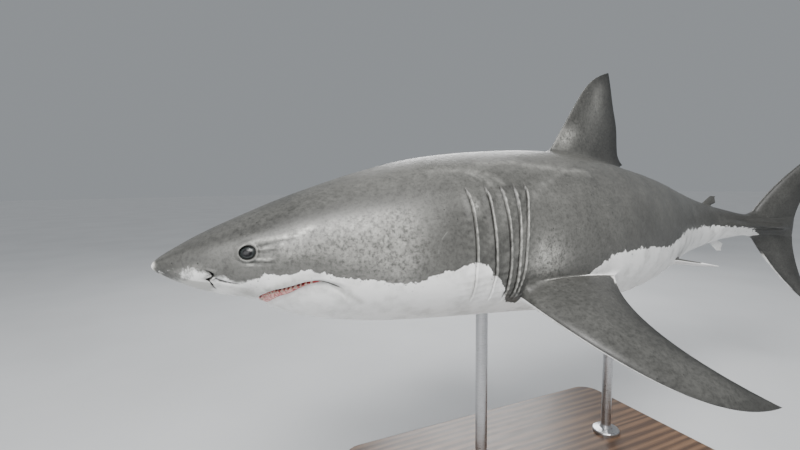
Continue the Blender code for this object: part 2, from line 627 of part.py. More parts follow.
# ---- the whole model ----------------------------------------------------------------------------------
def main():
    """Build every piece."""
    clear_scene()
    shark = new_collection("great_white_shark")
    cutters = new_collection("cutters")
    cutters.hide_render = True
    gills = bpy.data.collections.new("gill_cuts")
    face = bpy.data.collections.new("face_cuts")
    for group in (gills, face):
        cutters.children.link(group)

    grey = material("shark_grey_skin", (0.20, 0.20, 0.19), 0.5)
    pale = material("shark_white_skin", (0.75, 0.74, 0.72), 0.5)
    back = material("shark_fin_skin", (0.14, 0.14, 0.135), 0.5)
    eye = material("eye", (0.01, 0.01, 0.012), 0.08)
    painted = material("stand_base_paint", (0.05, 0.05, 0.055), 0.4)
    steel = material("stand_rod_steel", (0.45, 0.45, 0.46), 0.3, 1.0)

    body = body_cutter("body_cutter", cutters)

    head = body_length("head", 0.0, HEAD_END, shark, grey)
    shoulder = body_length("trunk_front", HEAD_END, SHOULDER_END, shark, grey)
    body_length("trunk_rear", SHOULDER_END, BELLY_END, shark, grey)
    body_length("tail_stalk", BELLY_END, BODY_END, shark, grey)

    jaw = body_length("lower_jaw", 0.0, HEAD_END, shark, pale)
    cut(jaw, jaw_block("jaw_space", cutters, 0.0, JAW_TIP, True), "INTERSECT")
    cut(head, jaw_block("mouth_space", cutters, GAP / PERCENT, 5.4, False))
    add_teeth(cutters, jaw)

    for side, word in ((1, "left"), (-1, "right")):
        eyeball("eye_" + word, side, shark, eye)
        eyeball("socket_" + word, side, face, None, grow=1.5 * GAP)
        nostril(side, face)
        gill_slots(side, gills)
        pectoral(side, shark, back, body)
        pelvic(side, shark, pale, body)
    cut(head, face)
    cut(shoulder, gills)

    first_dorsal(shark, back, body)
    small_fin("second_dorsal_fin", 71.6, 2.95, 1.35, 1.0, shark, back, body)
    small_fin("anal_fin", 73.8, -2.45, 1.5, -1.0, shark, pale, body)
    tail_lobe("caudal_fin_upper", (81.0, 1.3), 21.0, math.radians(57), math.radians(27), 1.7, NOTCH_DEPTH,
              shark, back, body)
    tail_lobe("caudal_fin_lower", (81.4, -1.0), 16.3, math.radians(-54), math.radians(-33), 1.7, 0.0,
              shark, back, body)

    stand_base(shark, painted)
    stand_rod("stand_rod_front", ROD_STATIONS[0], shark, steel, body)
    stand_rod("stand_rod_rear", ROD_STATIONS[1], shark, steel, body)
    for piece in cutters.all_objects:
        hide(piece)


main()
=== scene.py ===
"""A great white shark as a still, life-size museum model on a wooden display stand.

The whole fish is one skin: a grid of stations by angles that is bent along the backbone, with the fins, the
eye openings, the nostrils and the mouth woven into it. Eyes, gums and teeth are separate pieces.

Units are metres, +Z up, snout toward -X and left flank toward -Y. Body coordinates are percent of the total
length: s runs back from the tip of the snout, y to the right and z up, before the body is bent. An angle is
measured round the body from the top (0) over the left flank (90 degrees) to the belly (180 degrees).
"""

import logging
import math
from dataclasses import dataclass, field
from enum import Enum

import bmesh
import bpy
import numpy as np
from mathutils import Matrix, Vector

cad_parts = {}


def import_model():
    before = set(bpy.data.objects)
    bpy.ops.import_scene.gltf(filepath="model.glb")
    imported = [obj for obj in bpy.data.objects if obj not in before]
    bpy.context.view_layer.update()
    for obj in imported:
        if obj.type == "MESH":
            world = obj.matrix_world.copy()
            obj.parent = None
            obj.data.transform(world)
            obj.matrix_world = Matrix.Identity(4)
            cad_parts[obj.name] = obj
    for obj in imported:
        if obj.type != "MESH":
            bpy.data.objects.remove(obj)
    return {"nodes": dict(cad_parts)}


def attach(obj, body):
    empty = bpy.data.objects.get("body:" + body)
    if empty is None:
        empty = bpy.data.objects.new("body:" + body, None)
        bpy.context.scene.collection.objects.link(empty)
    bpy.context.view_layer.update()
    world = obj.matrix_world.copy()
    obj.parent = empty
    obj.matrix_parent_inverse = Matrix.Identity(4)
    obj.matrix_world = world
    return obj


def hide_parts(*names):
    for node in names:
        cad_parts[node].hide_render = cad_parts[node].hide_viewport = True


Array = np.ndarray
Triple = tuple[float, float, float]
Table = tuple[tuple[float, ...], ...]
Mesh = bpy.types.Mesh
Material = bpy.types.Material
Socket = bpy.types.NodeSocket
Inputs = dict[str, object]
Outputs = bpy.types.NodeOutputs
Values = Array | float
join = np.concatenate

LOG = logging.getLogger("great_white_shark")
DEGREE = math.pi / 180
TURN = 2 * math.pi
UP = np.array([0.0, 0.0, 1.0])
MIRROR = np.array([1.0, -1.0, 1.0])
EYE = (6.1, 76.5)  # station and angle in degrees of the eye's middle
EYE_OPENING = (0.55, 0.655)  # half length and half height of its opening
EYE_ARC = 4.05  # radius that turns an angle at the eye into an arc's length
THROAT = np.array([11.2, 0.0, 0.0])  # point that the mouth's pocket, the gum and the teeth face


# ---- curves ----
def ease(low: float, high: float, value: Values) -> Array:
    """0 below low, 1 above high and a smooth cubic step, 3t^2 - 2t^3, in between."""
    t = unit((np.asarray(value, float) - low) / (high - low))
    return t * t * (3 - 2 * t)


def unit(value: Values) -> Array:
    """The value held between 0 and 1."""
    return np.clip(value, 0, 1)


def fade(low: float, high: float, value: Values) -> Array:
    """1 below low, 0 above high and the same smooth step in between."""
    return 1 - ease(low, high, value)


def window(low: float, full: float, fall: float, gone: float, value: Values) -> Array:
    """1 from full to fall, 0 below low and above gone."""
    return ease(low, full, value) * fade(fall, gone, value)


def bump(centre: float, width: float, value: Values) -> Array:
    """A bell, exp(-((value - centre) / width)^2)."""
    return np.exp(-(((np.asarray(value, float) - centre) / width) ** 2))


def from_top(angle: Array) -> Array:
    """Angle from the top in degrees, 0 to 180 on either side."""
    return np.arccos(np.cos(angle)) / DEGREE


def running(values: Array, step: float = 1.0) -> Array:
    """The running sum of the means of neighbours, times the step: the integral of evenly spaced values."""
    return join([np.zeros_like(values[:1]), np.cumsum((values[1:] + values[:-1]) / 2 * step, 0)])


def smooth_curve(xs: Array, ys: Array, at: Array) -> Array:
    """A cubic through the points that never overshoots.

    Each slope is the weighted harmonic mean of the two grades beside it, and zero at a turning point.

    Args:
        xs: Rising places of the points.
        ys: Heights of the points.
        at: Where to read the curve; beyond the ends it keeps the end heights.

    Returns:
        The heights at those places.
    """
    xs, ys = np.asarray(xs, float), np.asarray(ys, float)
    at = np.clip(np.asarray(at, float), xs[0], xs[-1])
    step, rise = np.diff(xs), np.diff(ys)
    grade = rise / step
    slope = np.zeros_like(ys)
    both = grade[:-1] * grade[1:] > 0
    w1, w2 = 2 * step[1:] + step[:-1], step[1:] + 2 * step[:-1]
    mean = (w1 + w2) / (w1 / np.where(both, grade[:-1], 1) + w2 / np.where(both, grade[1:], 1.0))
    slope[1:-1] = np.where(both, mean, 0.0)
    slope[0], slope[-1] = grade[0], grade[-1]
    i = np.clip(np.searchsorted(xs, at) - 1, 0, len(xs) - 2)
    h, t = step[i], (at - xs[i]) / step[i]
    return ((1 + 2 * t) * (1 - t) ** 2 * ys[i] + t * (1 - t) ** 2 * h * slope[i]
            + t * t * (3 - 2 * t) * ys[i + 1] + t * t * (t - 1) * h * slope[i + 1])


def spread(start: float, end: float, spacing: Array, places: Array) -> Array:
    """Places from start to end whose spacing follows a given spacing.

    The number of steps is the integral of one over the spacing, and the places divide it evenly.

    Args:
        start: First place.
        end: Last place.
        spacing: Wanted spacing at each of the fine places.
        places: Fine rising places that the spacing is given at.

    Returns:
        The places, both ends included.
    """
    run = join([[0.0], np.cumsum(np.diff(places) * 2 / (spacing[1:] + spacing[:-1]))])
    low, high = np.interp([start, end], places, run)
    count = max(int(round(high - low)), 1)
    return np.interp(np.linspace(low, high, count + 1), run, places)


# ---- the plan of the body ----
@dataclass(frozen=True)
class BodyPlan:
    """Outline, sections and backbone of the fish, as formulas over body coordinates."""

    total_length: float = 3.8
    snout_tip: Triple = (-1.4, -0.05, 1.02)
    # station, top, bottom, half width, height of the widest line
    sizes_table: Table = (
        (0, 0, 0, 0, 0), (0.5, 0.62, -0.55, 0.7, 0),
        (1.5, 1.22, -1.13, 1.49, 0.1), (3, 2.02, -1.83, 2.46, 0.2),
        (5, 2.92, -2.46, 3.5, 0.3), (6.6, 3.58, -2.82, 4.22, 0.3),
        (8.2, 4.23, -3.8, 4.93, 0.2), (12, 5.57, -5, 6.05, 0),
        (16, 6.78, -5.6, 7, -0.3), (21, 7.88, -5.95, 7.8, -0.5),
        (27, 8.5, -6.35, 8.12, -0.6), (33, 8.75, -6.85, 8.15, -0.6),
        (40, 8.35, -7.1, 7.8, -0.5), (47, 7.35, -6.85, 6.95, -0.3),
        (55, 6.15, -5.95, 5.66, 0), (63, 4.78, -4.65, 4.18, 0.1),
        (70, 3.41, -3.39, 2.99, 0.2), (76, 2.35, -2.1, 2.12, 0.2),
        (80.5, 1.76, -1.48, 1.7, 0.2), (84, 1.8, -1.5, 1.4, 0.15),
        (88, 1.9, -1.6, 0.5, 0.15), (88.6, 1.92, -1.62, 0.035, 0.15))
    upper_shape: float = 2.1
    lower_shape: float = 2.3
    keel_width: float = 1.25
    keel_spread: float = 13.0 * DEGREE
    body_turn: float = 14.7 * DEGREE
    tail_sweep: float = -37.6 * DEGREE
    tail_droop: float = -3.5 * DEGREE
    end: float = 88.6

    @property
    def percent(self) -> float:
        """Metres in one percent of the total length."""
        return self.total_length / 100

    def sizes(self, s: Array) -> tuple[Array, Array, Array, Array]:
        """Top, bottom, half width and widest height at the stations.

        The first three are cubics over the root of the station, which keeps the snout round.

        Args:
            s: Stations in percent.

        Returns:
            The four sizes in percent.
        """
        s = np.clip(np.asarray(s, float), 0.0, self.end)
        table = np.array(self.sizes_table)
        root = np.sqrt(table[:, 0])
        top, bottom, half = (smooth_curve(root, table[:, i], np.sqrt(s)) for i in (1, 2, 3))
        return top, bottom, half, smooth_curve(table[:, 0], table[:, 4], s)

    def keel(self, s: Array) -> Array:
        """How far the keel of the tail stalk stands out: full from 79 to 83.5, gone at 71 and 88."""
        return self.keel_width * window(71, 79, 83.5, 88, s)

    def section(self, s: Array, angle: Array, grow: Values = 0.0) -> tuple[Array, Array]:
        """A point of the skin's cross-section.

        Each half is a superellipse, |sin|^(2/n) across and |cos|^(2/n) up, with n 2.1 above and 2.3 below
        the widest line, and the keel is a narrow bell at 90 degrees.

        Args:
            s: Station.
            angle: Angle from the top toward the left, in radians.
            grow: How far the skin stands out from the plain section.

        Returns:
            y and z in percent.
        """
        top, bottom, half, mid = self.sizes(s)
        top, bottom, half = top + grow, bottom - grow, half + grow
        c, d = np.cos(angle), np.sin(angle)
        power = 2 / np.where(c >= 0, self.upper_shape, self.lower_shape)
        ridge = self.keel(s) * bump(math.pi / 2, self.keel_spread, np.arccos(np.clip(c, -1, 1)))
        y = -np.sign(d) * (half * np.abs(d) ** power + ridge)
        z = mid + np.where(c >= 0, top - mid, mid - bottom) * np.sign(c) * np.abs(c) ** power
        return y, z

    def backbone(self) -> tuple[Array, Array, Array, Array]:
        """Stations of the backbone with place, turn and droop: the place is the running sum of the heading."""
        s = np.linspace(-5.0, 112.0, 1171)
        turn = self.body_turn * ease(20, 60, s) + self.tail_sweep * ease(55, 90, s)
        droop = self.tail_droop * ease(30, 85, s)
        heading = np.stack([np.cos(turn) * np.cos(droop), np.sin(turn) * np.cos(droop), np.sin(droop)], 1)
        place = running(heading, s[1] - s[0])
        return s, place - place[np.argmin(np.abs(s))], turn, droop

    def axes(self, s: Array) -> tuple[Array, Array, Array]:
        """Middle, side and up directions of the section at the stations, in unscaled body units."""
        line, place, turn, droop = BACKBONE
        a, b = np.interp(s, line, turn), np.interp(s, line, droop)
        middle = np.stack([np.interp(s, line, place[:, i]) for i in range(3)], -1)
        side = np.stack([-np.sin(a), np.cos(a), 0 * a], -1)
        up = np.stack([-np.cos(a) * np.sin(b), -np.sin(a) * np.sin(b), np.cos(b)], -1)
        return middle, side, up

    def bend(self, points: Array) -> Array:
        """Body coordinates to metres: the backbone's place plus y along its side and z along its up."""
        points = np.asarray(points, float)
        middle, side, up = self.axes(points[..., 0])
        bent = middle + side * points[..., 1:2] + up * points[..., 2:3]
        return bent * self.percent + np.array(self.snout_tip)

    def unbend(self, points: Array) -> Array:
        """Metres back to body coordinates: the station is moved along the heading until the point is beside it."""
        flat = (np.asarray(points, float) - np.array(self.snout_tip)) / self.percent
        s = flat[..., 0].copy()
        for _ in range(12):
            middle, side, up = self.axes(s)
            s = s + np.sum((flat - middle) * np.cross(side, up), -1)
        middle, side, up = self.axes(s)
        offset = flat - middle
        return np.stack([s, np.sum(offset * side, -1), np.sum(offset * up, -1)], -1)

    def skin(self, s: Array, angle: Array, grow: Values = 0.0) -> Array:
        """The skin's place in metres at stations and angles, standing out by grow."""
        s, angle = np.broadcast_arrays(np.asarray(s, float), np.asarray(angle, float))
        y, z = self.section(s, angle, grow)
        return self.bend(np.stack([s, y, z], -1))

    def depth(self, points: Array) -> tuple[Array, Array, Array]:
        """How points lie in their section.

        Args:
            points: Body coordinates.

        Returns:
            Share of the way out from the widest line (1 on the skin), station and angle.
        """
        s, y, z = points[..., 0], points[..., 1], points[..., 2]
        top, bottom, half, mid = self.sizes(s)
        shape = np.where(z >= mid, self.upper_shape, self.lower_shape)
        across = np.abs(y) / np.maximum(half, 1e-6)
        upright = np.abs(z - mid) / np.maximum(np.where(z >= mid, top - mid, mid - bottom), 1e-6)
        share = (across**shape + upright**shape) ** (1 / shape)
        turn = np.arctan2(across ** (shape / 2), upright ** (shape / 2))
        turn = np.where(z >= mid, turn, math.pi - turn)
        return share, s, np.where(y <= 0, turn, TURN - turn)

    def follow(self, points: Array, station: float) -> Array:
        """Body coordinates to metres for a fin that keeps its own shape: the axes of one station carry it."""
        offset = np.asarray(points, float) - np.array([station, 0.0, 0.0])
        middle, side, up = self.axes(np.array(station))
        back = np.cross(side, up)
        place = middle + offset[..., :1] * back + offset[..., 1:2] * side + offset[..., 2:3] * up
        return place * self.percent + np.array(self.snout_tip)


PLAN = BodyPlan()
BACKBONE = PLAN.backbone()


# ---- the weave: one mesh from grids that share their edges ----
class Kind(Enum):
    """What a point of the skin belongs to."""

    BODY = 0.0
    DORSAL = 1.0
    PECTORAL = 2.0
    PELVIC = 3.0
    TAIL = 4.0
    SMALL = 5.0


class Weave:
    """Collects points with their marks, and the faces between them, for one closed mesh.

    The marks of a point are its station, its angle, its kind, how far out it is along a fin (0 to 1), its
    place across the fin (0 leading edge to 1 trailing edge, negative on the lower side) and how deep it
    lies in an opening (0 on the outside).
    """

    def __init__(self) -> None:
        """Start empty."""
        self.points: list[Array] = []
        self.marks: list[Array] = []
        self.faces: list[Array] = []
        self.count = 0

    def add(self, points: Array, s: Values = 0.0, angle: Values = 0.0, kind: Kind = Kind.BODY,
            span: Values = 0.0, chord: Values = 0.0, inner: Values = 0.0) -> Array:
        """Add points of any array shape.

        Args:
            points: Places in metres, the last axis holding x, y and z.
            s: Stations of the points.
            angle: Angles of the points.
            kind: What they belong to.
            span: Place along a fin.
            chord: Place across a fin.
            inner: Depth in an opening.

        Returns:
            The numbers of the points, in the shape of the array.
        """
        shape = points.shape[:-1]
        columns = [np.broadcast_to(v, shape).reshape(-1) for v in (s, angle, kind.value, span, chord, inner)]
        self.points.append(points.reshape(-1, 3))
        self.marks.append(np.stack(columns, 1))
        number = self.count + np.arange(int(np.prod(shape))).reshape(shape)
        self.count += number.size
        return number

    def sheet(self, number: Array, closed: bool = False, keep: Array | None = None) -> None:
        """Four-sided faces between neighbouring rows and columns of a grid of point numbers.

        Args:
            number: Point numbers as rows by columns.
            closed: Whether the last column joins the first.
            keep: Optional mask of the cells that get a face.
        """
        after = np.roll(number, -1, axis=1) if closed else number[:, 1:]
        first = number if closed else number[:, :-1]
        quads = np.stack([first[:-1], after[:-1], after[1:], first[1:]], -1)
        self.faces.append(quads[keep] if keep is not None else quads.reshape(-1, 4))

    def fold(self, ring: Array, closed: bool = True) -> None:
        """Close a ring on itself: each point joins the one across, the first being its own mirror.

        Args:
            ring: Point numbers; a closed ring starts at a fold point, an open one folds at its middle.
            closed: Whether the ring is closed.
        """
        half = len(ring) // 2
        one = ring[: half + 1] if closed else ring[half::-1]
        other = join([ring[:1], ring[:half - 1:-1]]) if closed else ring[half:]
        self.faces.append(np.stack([one[:-1], one[1:], other[1:], other[:-1]], -1))

    def fan(self, ring: Array, centre: Array) -> None:
        """Triangles from every pair of neighbours of a closed ring to one point."""
        middle = np.full(len(ring), centre)
        self.faces.append(np.stack([ring, np.roll(ring, -1), middle, middle], -1))

    def state(self, loop: Array) -> tuple[Array, Array]:
        """Places and marks of points already in the weave."""
        return join(self.points)[loop], join(self.marks)[loop]

    def mesh(self, name: str) -> tuple[Mesh, Array]:
        """Make the mesh.

        Quads with a doubled corner become triangles, and the normals are turned outwards.

        Args:
            name: Name of the mesh.

        Returns:
            The mesh and the marks of its points.
        """
        quads = join(self.faces)
        double = quads == np.roll(quads, 1, axis=1)
        single = double.sum(1) == 1
        whole, triangles = quads[~double.any(1)], quads[single][~double[single]]
        used, place = np.unique(join([whole.reshape(-1), triangles]), return_inverse=True)
        points, marks = self.state(used)
        faces = place[: whole.size].reshape(-1, 4).tolist() + place[whole.size:].reshape(-1, 3).tolist()
        made = bpy.data.meshes.new(name)
        made.from_pydata(points, [], faces)
        made.validate()
        work = bmesh.new()
        work.from_mesh(made)
        bmesh.ops.recalc_face_normals(work, faces=work.faces)
        work.to_mesh(made)
        work.free()
        made.shade_smooth()
        return made, marks


def grid_mesh(name: str, points: Array, capped: tuple[int, ...]) -> Mesh:
    """A mesh of one grid of points whose last column joins the first.

    Args:
        name: Name of the mesh.
        points: Rows by columns by three.
        capped: The rows, 0 or -1, that a point in their middle closes.

    Returns:
        The mesh, its faces turned outwards.
    """
    weave = Weave()
    number = weave.add(points)
    weave.sheet(number, closed=True)
    for row in capped:
        weave.fan(number[row], weave.add(points[row].mean(0)[None]))
    return weave.mesh(name)[0]


def write_values(mesh: Mesh, name: str, values: Array) -> None:
    """Write one value for each point of a mesh as an attribute."""
    layer = mesh.attributes.new(name, "FLOAT", "POINT")
    layer.data.foreach_set("value", np.ascontiguousarray(values, np.float32))


def link_object(name: str, data: bpy.types.ID) -> bpy.types.Object:
    """Put an object in the scene."""
    made = bpy.data.objects.new(name, data)
    bpy.context.scene.collection.objects.link(made)
    return made


def place_piece(name: str, mesh: Mesh, finish: Material, replaces: tuple[str, ...] = ()) -> None:
    """Put a finished mesh in the scene, riding on the root.

    Args:
        name: Name of the piece.
        mesh: Its mesh, with its place in it.
        finish: Its material.
        replaces: CAD nodes that it stands for.
    """
    mesh.materials.append(finish)
    made = link_object(name, mesh)
    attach(made, "root")
    if replaces:
        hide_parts(*replaces)
    LOG.info("%s: %d faces", name, len(mesh.polygons))


# ---- fins ----
Section = tuple[Array, Array, Array, Array]  # leading point, trailing point, facing direction and thickness


def standing(lead: tuple[Array, Array], rear: tuple[Array, Array], side: float, thick: Array) -> Section:
    """Sections of a fin in the middle plane.

    Args:
        lead: Stations and heights of the leading points.
        rear: Those of the trailing points.
        side: 1 above the body, -1 below it.
        thick: Thickness.

    Returns:
        The sections.
    """
    flat = np.zeros_like(lead[0])
    ends = (np.stack([s, flat, z], -1) for s, z in (lead, rear))
    return *ends, np.stack([flat, flat - side, flat], -1), thick


@dataclass
class Fin:
    """A fin as a family of streamlined sections from root to tip, woven into a gap in the body's grid."""

    kind: Kind
    gap: tuple[float, float]  # stations of the gap in the body
    middle: float  # angle of the middle of the gap, in degrees
    reach: float  # half the gap's spread, in degrees
    rings: int = 40
    fillet: float = 0.05  # share of the span over which the root swells into the body
    edge: float = 0.03
    open_rear: bool = False
    search: tuple[float, float] = (-0.3, 0.3)

    def sections(self, span: Array) -> Section:
        """The sections at shares of the span."""
        raise NotImplementedError

    def carry(self, points: Array) -> Array:
        """Body coordinates to metres; most fins bend with the body."""
        return PLAN.bend(points)

    def flank(self, span: Array, chord: Array) -> Array:
        """Points of the fin's surface.

        The section's half thickness is 2.598 sqrt(c) (1 - c) of the greatest, c being the share of the
        chord, plus a thin rim.

        Args:
            span: Share of the span.
            chord: Share of the chord, negative on the lower side.

        Returns:
            Places in metres.
        """
        lead, trail, normal, thick = self.sections(span)
        c = np.abs(chord)
        rim = 0.5 * self.edge * (np.sqrt(c) if self.open_rear else 2 * np.sqrt(unit(c * (1 - c))))
        half = 0.5 * thick * 2.598 * np.sqrt(c) * (1 - c) + rim
        return self.carry(lead + (trail - lead) * c[..., None] + normal * (np.sign(chord) * half)[..., None])


@dataclass
class FirstDorsal(Fin):
    """The tall fin on the back, with a rounded tip and a short free lobe at its rear."""

    origin: float = 36.3
    height: float = 9.65
    level: float = 8.3

    def sections(self, span: Array) -> Section:
        """The leading edge sweeps back and rounds over at the tip; the trailing edge is hollow."""
        h = span * self.height
        share = unit(span)
        lead = self.origin + 7.2 * np.where(span > 0, share, 0.5 * span) + 2.7 * share**9.5
        trail = smooth_curve(np.array([-2.6, -1.25, -0.85, -0.3, 0.6, 3.5, 6.0, 9.0, 9.65]),
                             np.array([47.6, 48.0, 50.5, 49.7, 48.95, 48.5, 47.6, 46.65, 46.4]), h)
        z = self.level + h
        return standing((lead, z), (trail, z), 1.0, 1.15 * (1 - share) ** 0.8 + 0.06)


@dataclass
class SmallFin(Fin):
    """The second dorsal or the anal fin: low, with a long free rear tip."""

    origin: float = 71.6
    level: float = 2.95
    height: float = 1.35
    side: float = 1.0

    def sections(self, span: Array) -> Section:
        """The leading edge slants back; the trailing edge runs out into the free tip and is hollow above it."""
        lead = self.origin + 1.35 * np.clip(span, -0.3, 1) * self.height
        trail = self.origin + 1.7 + smooth_curve(np.array([-0.6, 0.0, 0.3, 0.6, 0.85, 1.0]),
                                                 np.array([-0.1, 0.5, 1.35, 1.2, 1.1, 1.25]), span)
        z = self.level + self.side * span * self.height
        return standing((lead, z), (trail, z), self.side, 0.28 * (1 - unit(span)) + 0.05)


@dataclass
class TailLobe(Fin):
    """One lobe of the crescent tail fin."""

    start: tuple[float, float] = (81.0, 1.3)
    length: float = 21.0
    first: float = 57.0 * DEGREE
    last: float = 27.0 * DEGREE
    notch: float = 0.5
    side: float = 1.0

    def leading(self, share: Array) -> tuple[Array, Array]:
        """Stations and heights of the leading edge, whose angle above the axis changes evenly along it."""
        t = np.linspace(0, 1, 61)
        angle = self.first + (self.last - self.first) * t
        x, z = (running(part) / 60 * self.length for part in (np.cos(angle), np.sin(angle)))
        return self.start[0] + np.interp(share, t, x), self.start[1] + np.interp(share, t, z)

    def sections(self, span: Array) -> Section:
        """The leading edge is an arc; the trailing edge leaves the fork upright and curves back to the tip."""
        share = unit(span)
        s, z = self.leading(share)
        tip_s, tip_z = (float(each[0]) for each in self.leading(np.array([1.0])))
        early = np.minimum(span, 0.0)
        sunk = self.side * early * self.length * 0.5
        rear_s = PLAN.end + (tip_s + 0.35 - PLAN.end) * share**1.6 - self.notch * bump(0.8, 0.04, span)
        rear_z = 0.15 + (tip_z - 0.15) * (0.07 + 0.925 * share) + sunk
        return standing((s + early * 4, z + sunk), (rear_s, rear_z), self.side, 1.7 * (1 - share) ** 0.75 + 0.05)


@dataclass
class Pectoral(Fin):
    """A long curved pectoral fin that keeps its own shape beside the bent body; side 1 is the left."""

    side: float = 1.0
    root: tuple[float, float] = (26.3, 118.0)  # station and angle in degrees of the root's front
    length: float = 20.8
    sweep: float = 37.0 * DEGREE
    curve: float = 50.4 * DEGREE
    hollow: float = 4.7
    droop: float = 7.5 * DEGREE
    more_droop: float = 45.3 * DEGREE
    twist: float = 3.4 * DEGREE
    carrier: float = 30.0  # station whose axes carry the fin

    def carry(self, points: Array) -> Array:
        """The axes of one station carry the fin."""
        return PLAN.follow(points, self.carrier)

    def lay(self, back: Array, out: Array) -> tuple[Array, Array]:
        """Lay a point of the flat fin on its drooping span.

        The droop grows evenly outwards, and the height is the running sum of its sine.

        Args:
            back: How far back.
            out: How far out along the flat fin.

        Returns:
            Body coordinates and the facing direction there.
        """
        y0, z0 = PLAN.section(np.array(self.root[0]), np.array(self.root[1] * DEGREE))
        reach = self.length * math.cos(self.sweep)
        t = np.linspace(-0.4, 1.2, 161)
        droop = self.droop + self.more_droop * np.clip(t, 0, None)
        y, z = (running(part, (t[1] - t[0]) * reach) for part in (np.cos(droop), np.sin(droop)))
        y, z = y - np.interp(0, t, y), z - np.interp(0, t, z)
        share = out / reach
        here = np.interp(share, t, droop)
        normal = np.stack([0 * here, -np.sin(here), np.cos(here)], -1)
        point = np.stack([back * math.cos(self.twist), -np.interp(share, t, y), -np.interp(share, t, z)], -1)
        point = point + normal * (back * math.sin(self.twist))[..., None]
        point = point + np.array([self.root[0], float(y0), float(z0)])
        mirror = np.array([1.0, self.side, 1.0])
        return point * mirror, normal * mirror

    def sections(self, span: Array) -> Section:
        """The leading edge turns evenly from nearly straight out to swept back; the trailing edge is hollow."""
        fine = np.linspace(0, 1, 201)
        sweep = self.sweep + self.curve * (2 * fine - 1)
        back, out = (running(part) / 200 * self.length for part in (np.sin(sweep), np.cos(sweep)))
        share, early = unit(span), np.minimum(span, 0.0)
        lead = np.stack([np.interp(share, fine, back) - 3 * early, np.interp(share, fine, out) + 20 * early], -1)
        tip, corner = np.array([back[-1] + 0.15, out[-1]]), np.array([11.6, -0.3])
        straight = tip - corner
        across = np.array([-straight[1], straight[0]]) / np.linalg.norm(straight)
        trail = corner + straight * share[..., None] + across * (self.hollow * 4 * share * (1 - share))[..., None]
        trail = trail + np.stack([7 * early - 0.8 * unit(1 - span / 0.07) ** 2, 20 * early], -1)
        lead_point, normal = self.lay(lead[..., 0], lead[..., 1])
        trail_point, _ = self.lay(trail[..., 0], trail[..., 1])
        thick = 1.45 * (1 - share) ** 0.85 + 0.08 + 0.9 * bump(0, 0.1, span)
        return lead_point, trail_point, normal, thick


@dataclass
class Pelvic(Fin):
    """A short pelvic fin, nearly level, low on the side of the belly."""

    side: float = 1.0
    root: tuple[float, float] = (52.4, 119.0)
    length: float = 3.4
    lift: float = 1.0 * DEGREE
    pitch: float = 0.2

    def sections(self, span: Array) -> Section:
        """Both edges are smooth curves over the span, and the rear edge hangs lower."""
        y0, z0 = PLAN.section(np.array(self.root[0]), np.array(self.root[1] * DEGREE))
        knots = np.array([-0.45, 0.0, 0.25, 0.5, 0.75, 0.9, 1.0])
        back = smooth_curve(knots, np.array([0.0, 0.0, 0.7, 1.45, 2.3, 2.95, 3.5]), span)
        rear = smooth_curve(knots, np.array([4.6, 5.0, 5.6, 5.3, 4.8, 4.45, 4.1]), span)
        y = float(y0) - span * self.length * math.cos(self.lift)
        z = float(z0) + span * self.length * math.sin(self.lift)
        lead = np.stack([self.root[0] + back, self.side * y, z - self.pitch * back], -1)
        trail = np.stack([self.root[0] + rear, self.side * (y + 0.1 * rear), z - self.pitch * rear], -1)
        normal = np.broadcast_to(np.array([0.0, self.side * math.sin(self.lift), math.cos(self.lift)]), lead.shape)
        thick = 0.55 * (1 - unit(span)) ** 0.8 + 0.07
        return lead, trail, normal, thick


# ---- the skin ----
@dataclass(frozen=True)
class Streak:
    """A thin line of the skin: its path as stations and angles, its width, tone, darkness and height."""

    path: Table
    width: float
    pale: float = 0.0
    dark: float = 0.0
    height: float = 0.0
    tail: float = 0.0  # share of the path over which its far end fades out

    def weight(self, s: Array, turn: Array) -> Array:
        """A bell across the nearest point of the path, in a flat chart of station and arc length."""
        path = np.array(self.path)
        around = float(PLAN.sizes(path[:, 0].mean())[2]) * DEGREE
        x, y = np.asarray(s, float), np.asarray(turn, float) * around
        best = np.full(np.broadcast(x, y).shape, 9.0)
        place = np.zeros_like(best)
        for part, ((x0, y0), (x1, y1)) in enumerate(zip(path[:-1] * (1, around), path[1:] * (1, around))):
            dx, dy = x1 - x0, y1 - y0
            along = unit(((x - x0) * dx + (y - y0) * dy) / (dx * dx + dy * dy))
            away = np.hypot(x - x0 - along * dx, y - y0 - along * dy)
            place = np.where(away < best, (part + along) / (len(path) - 1), place)
            best = np.minimum(best, away)
        return bump(0, self.width, best) * fade(1 - self.tail, 1.001, place)


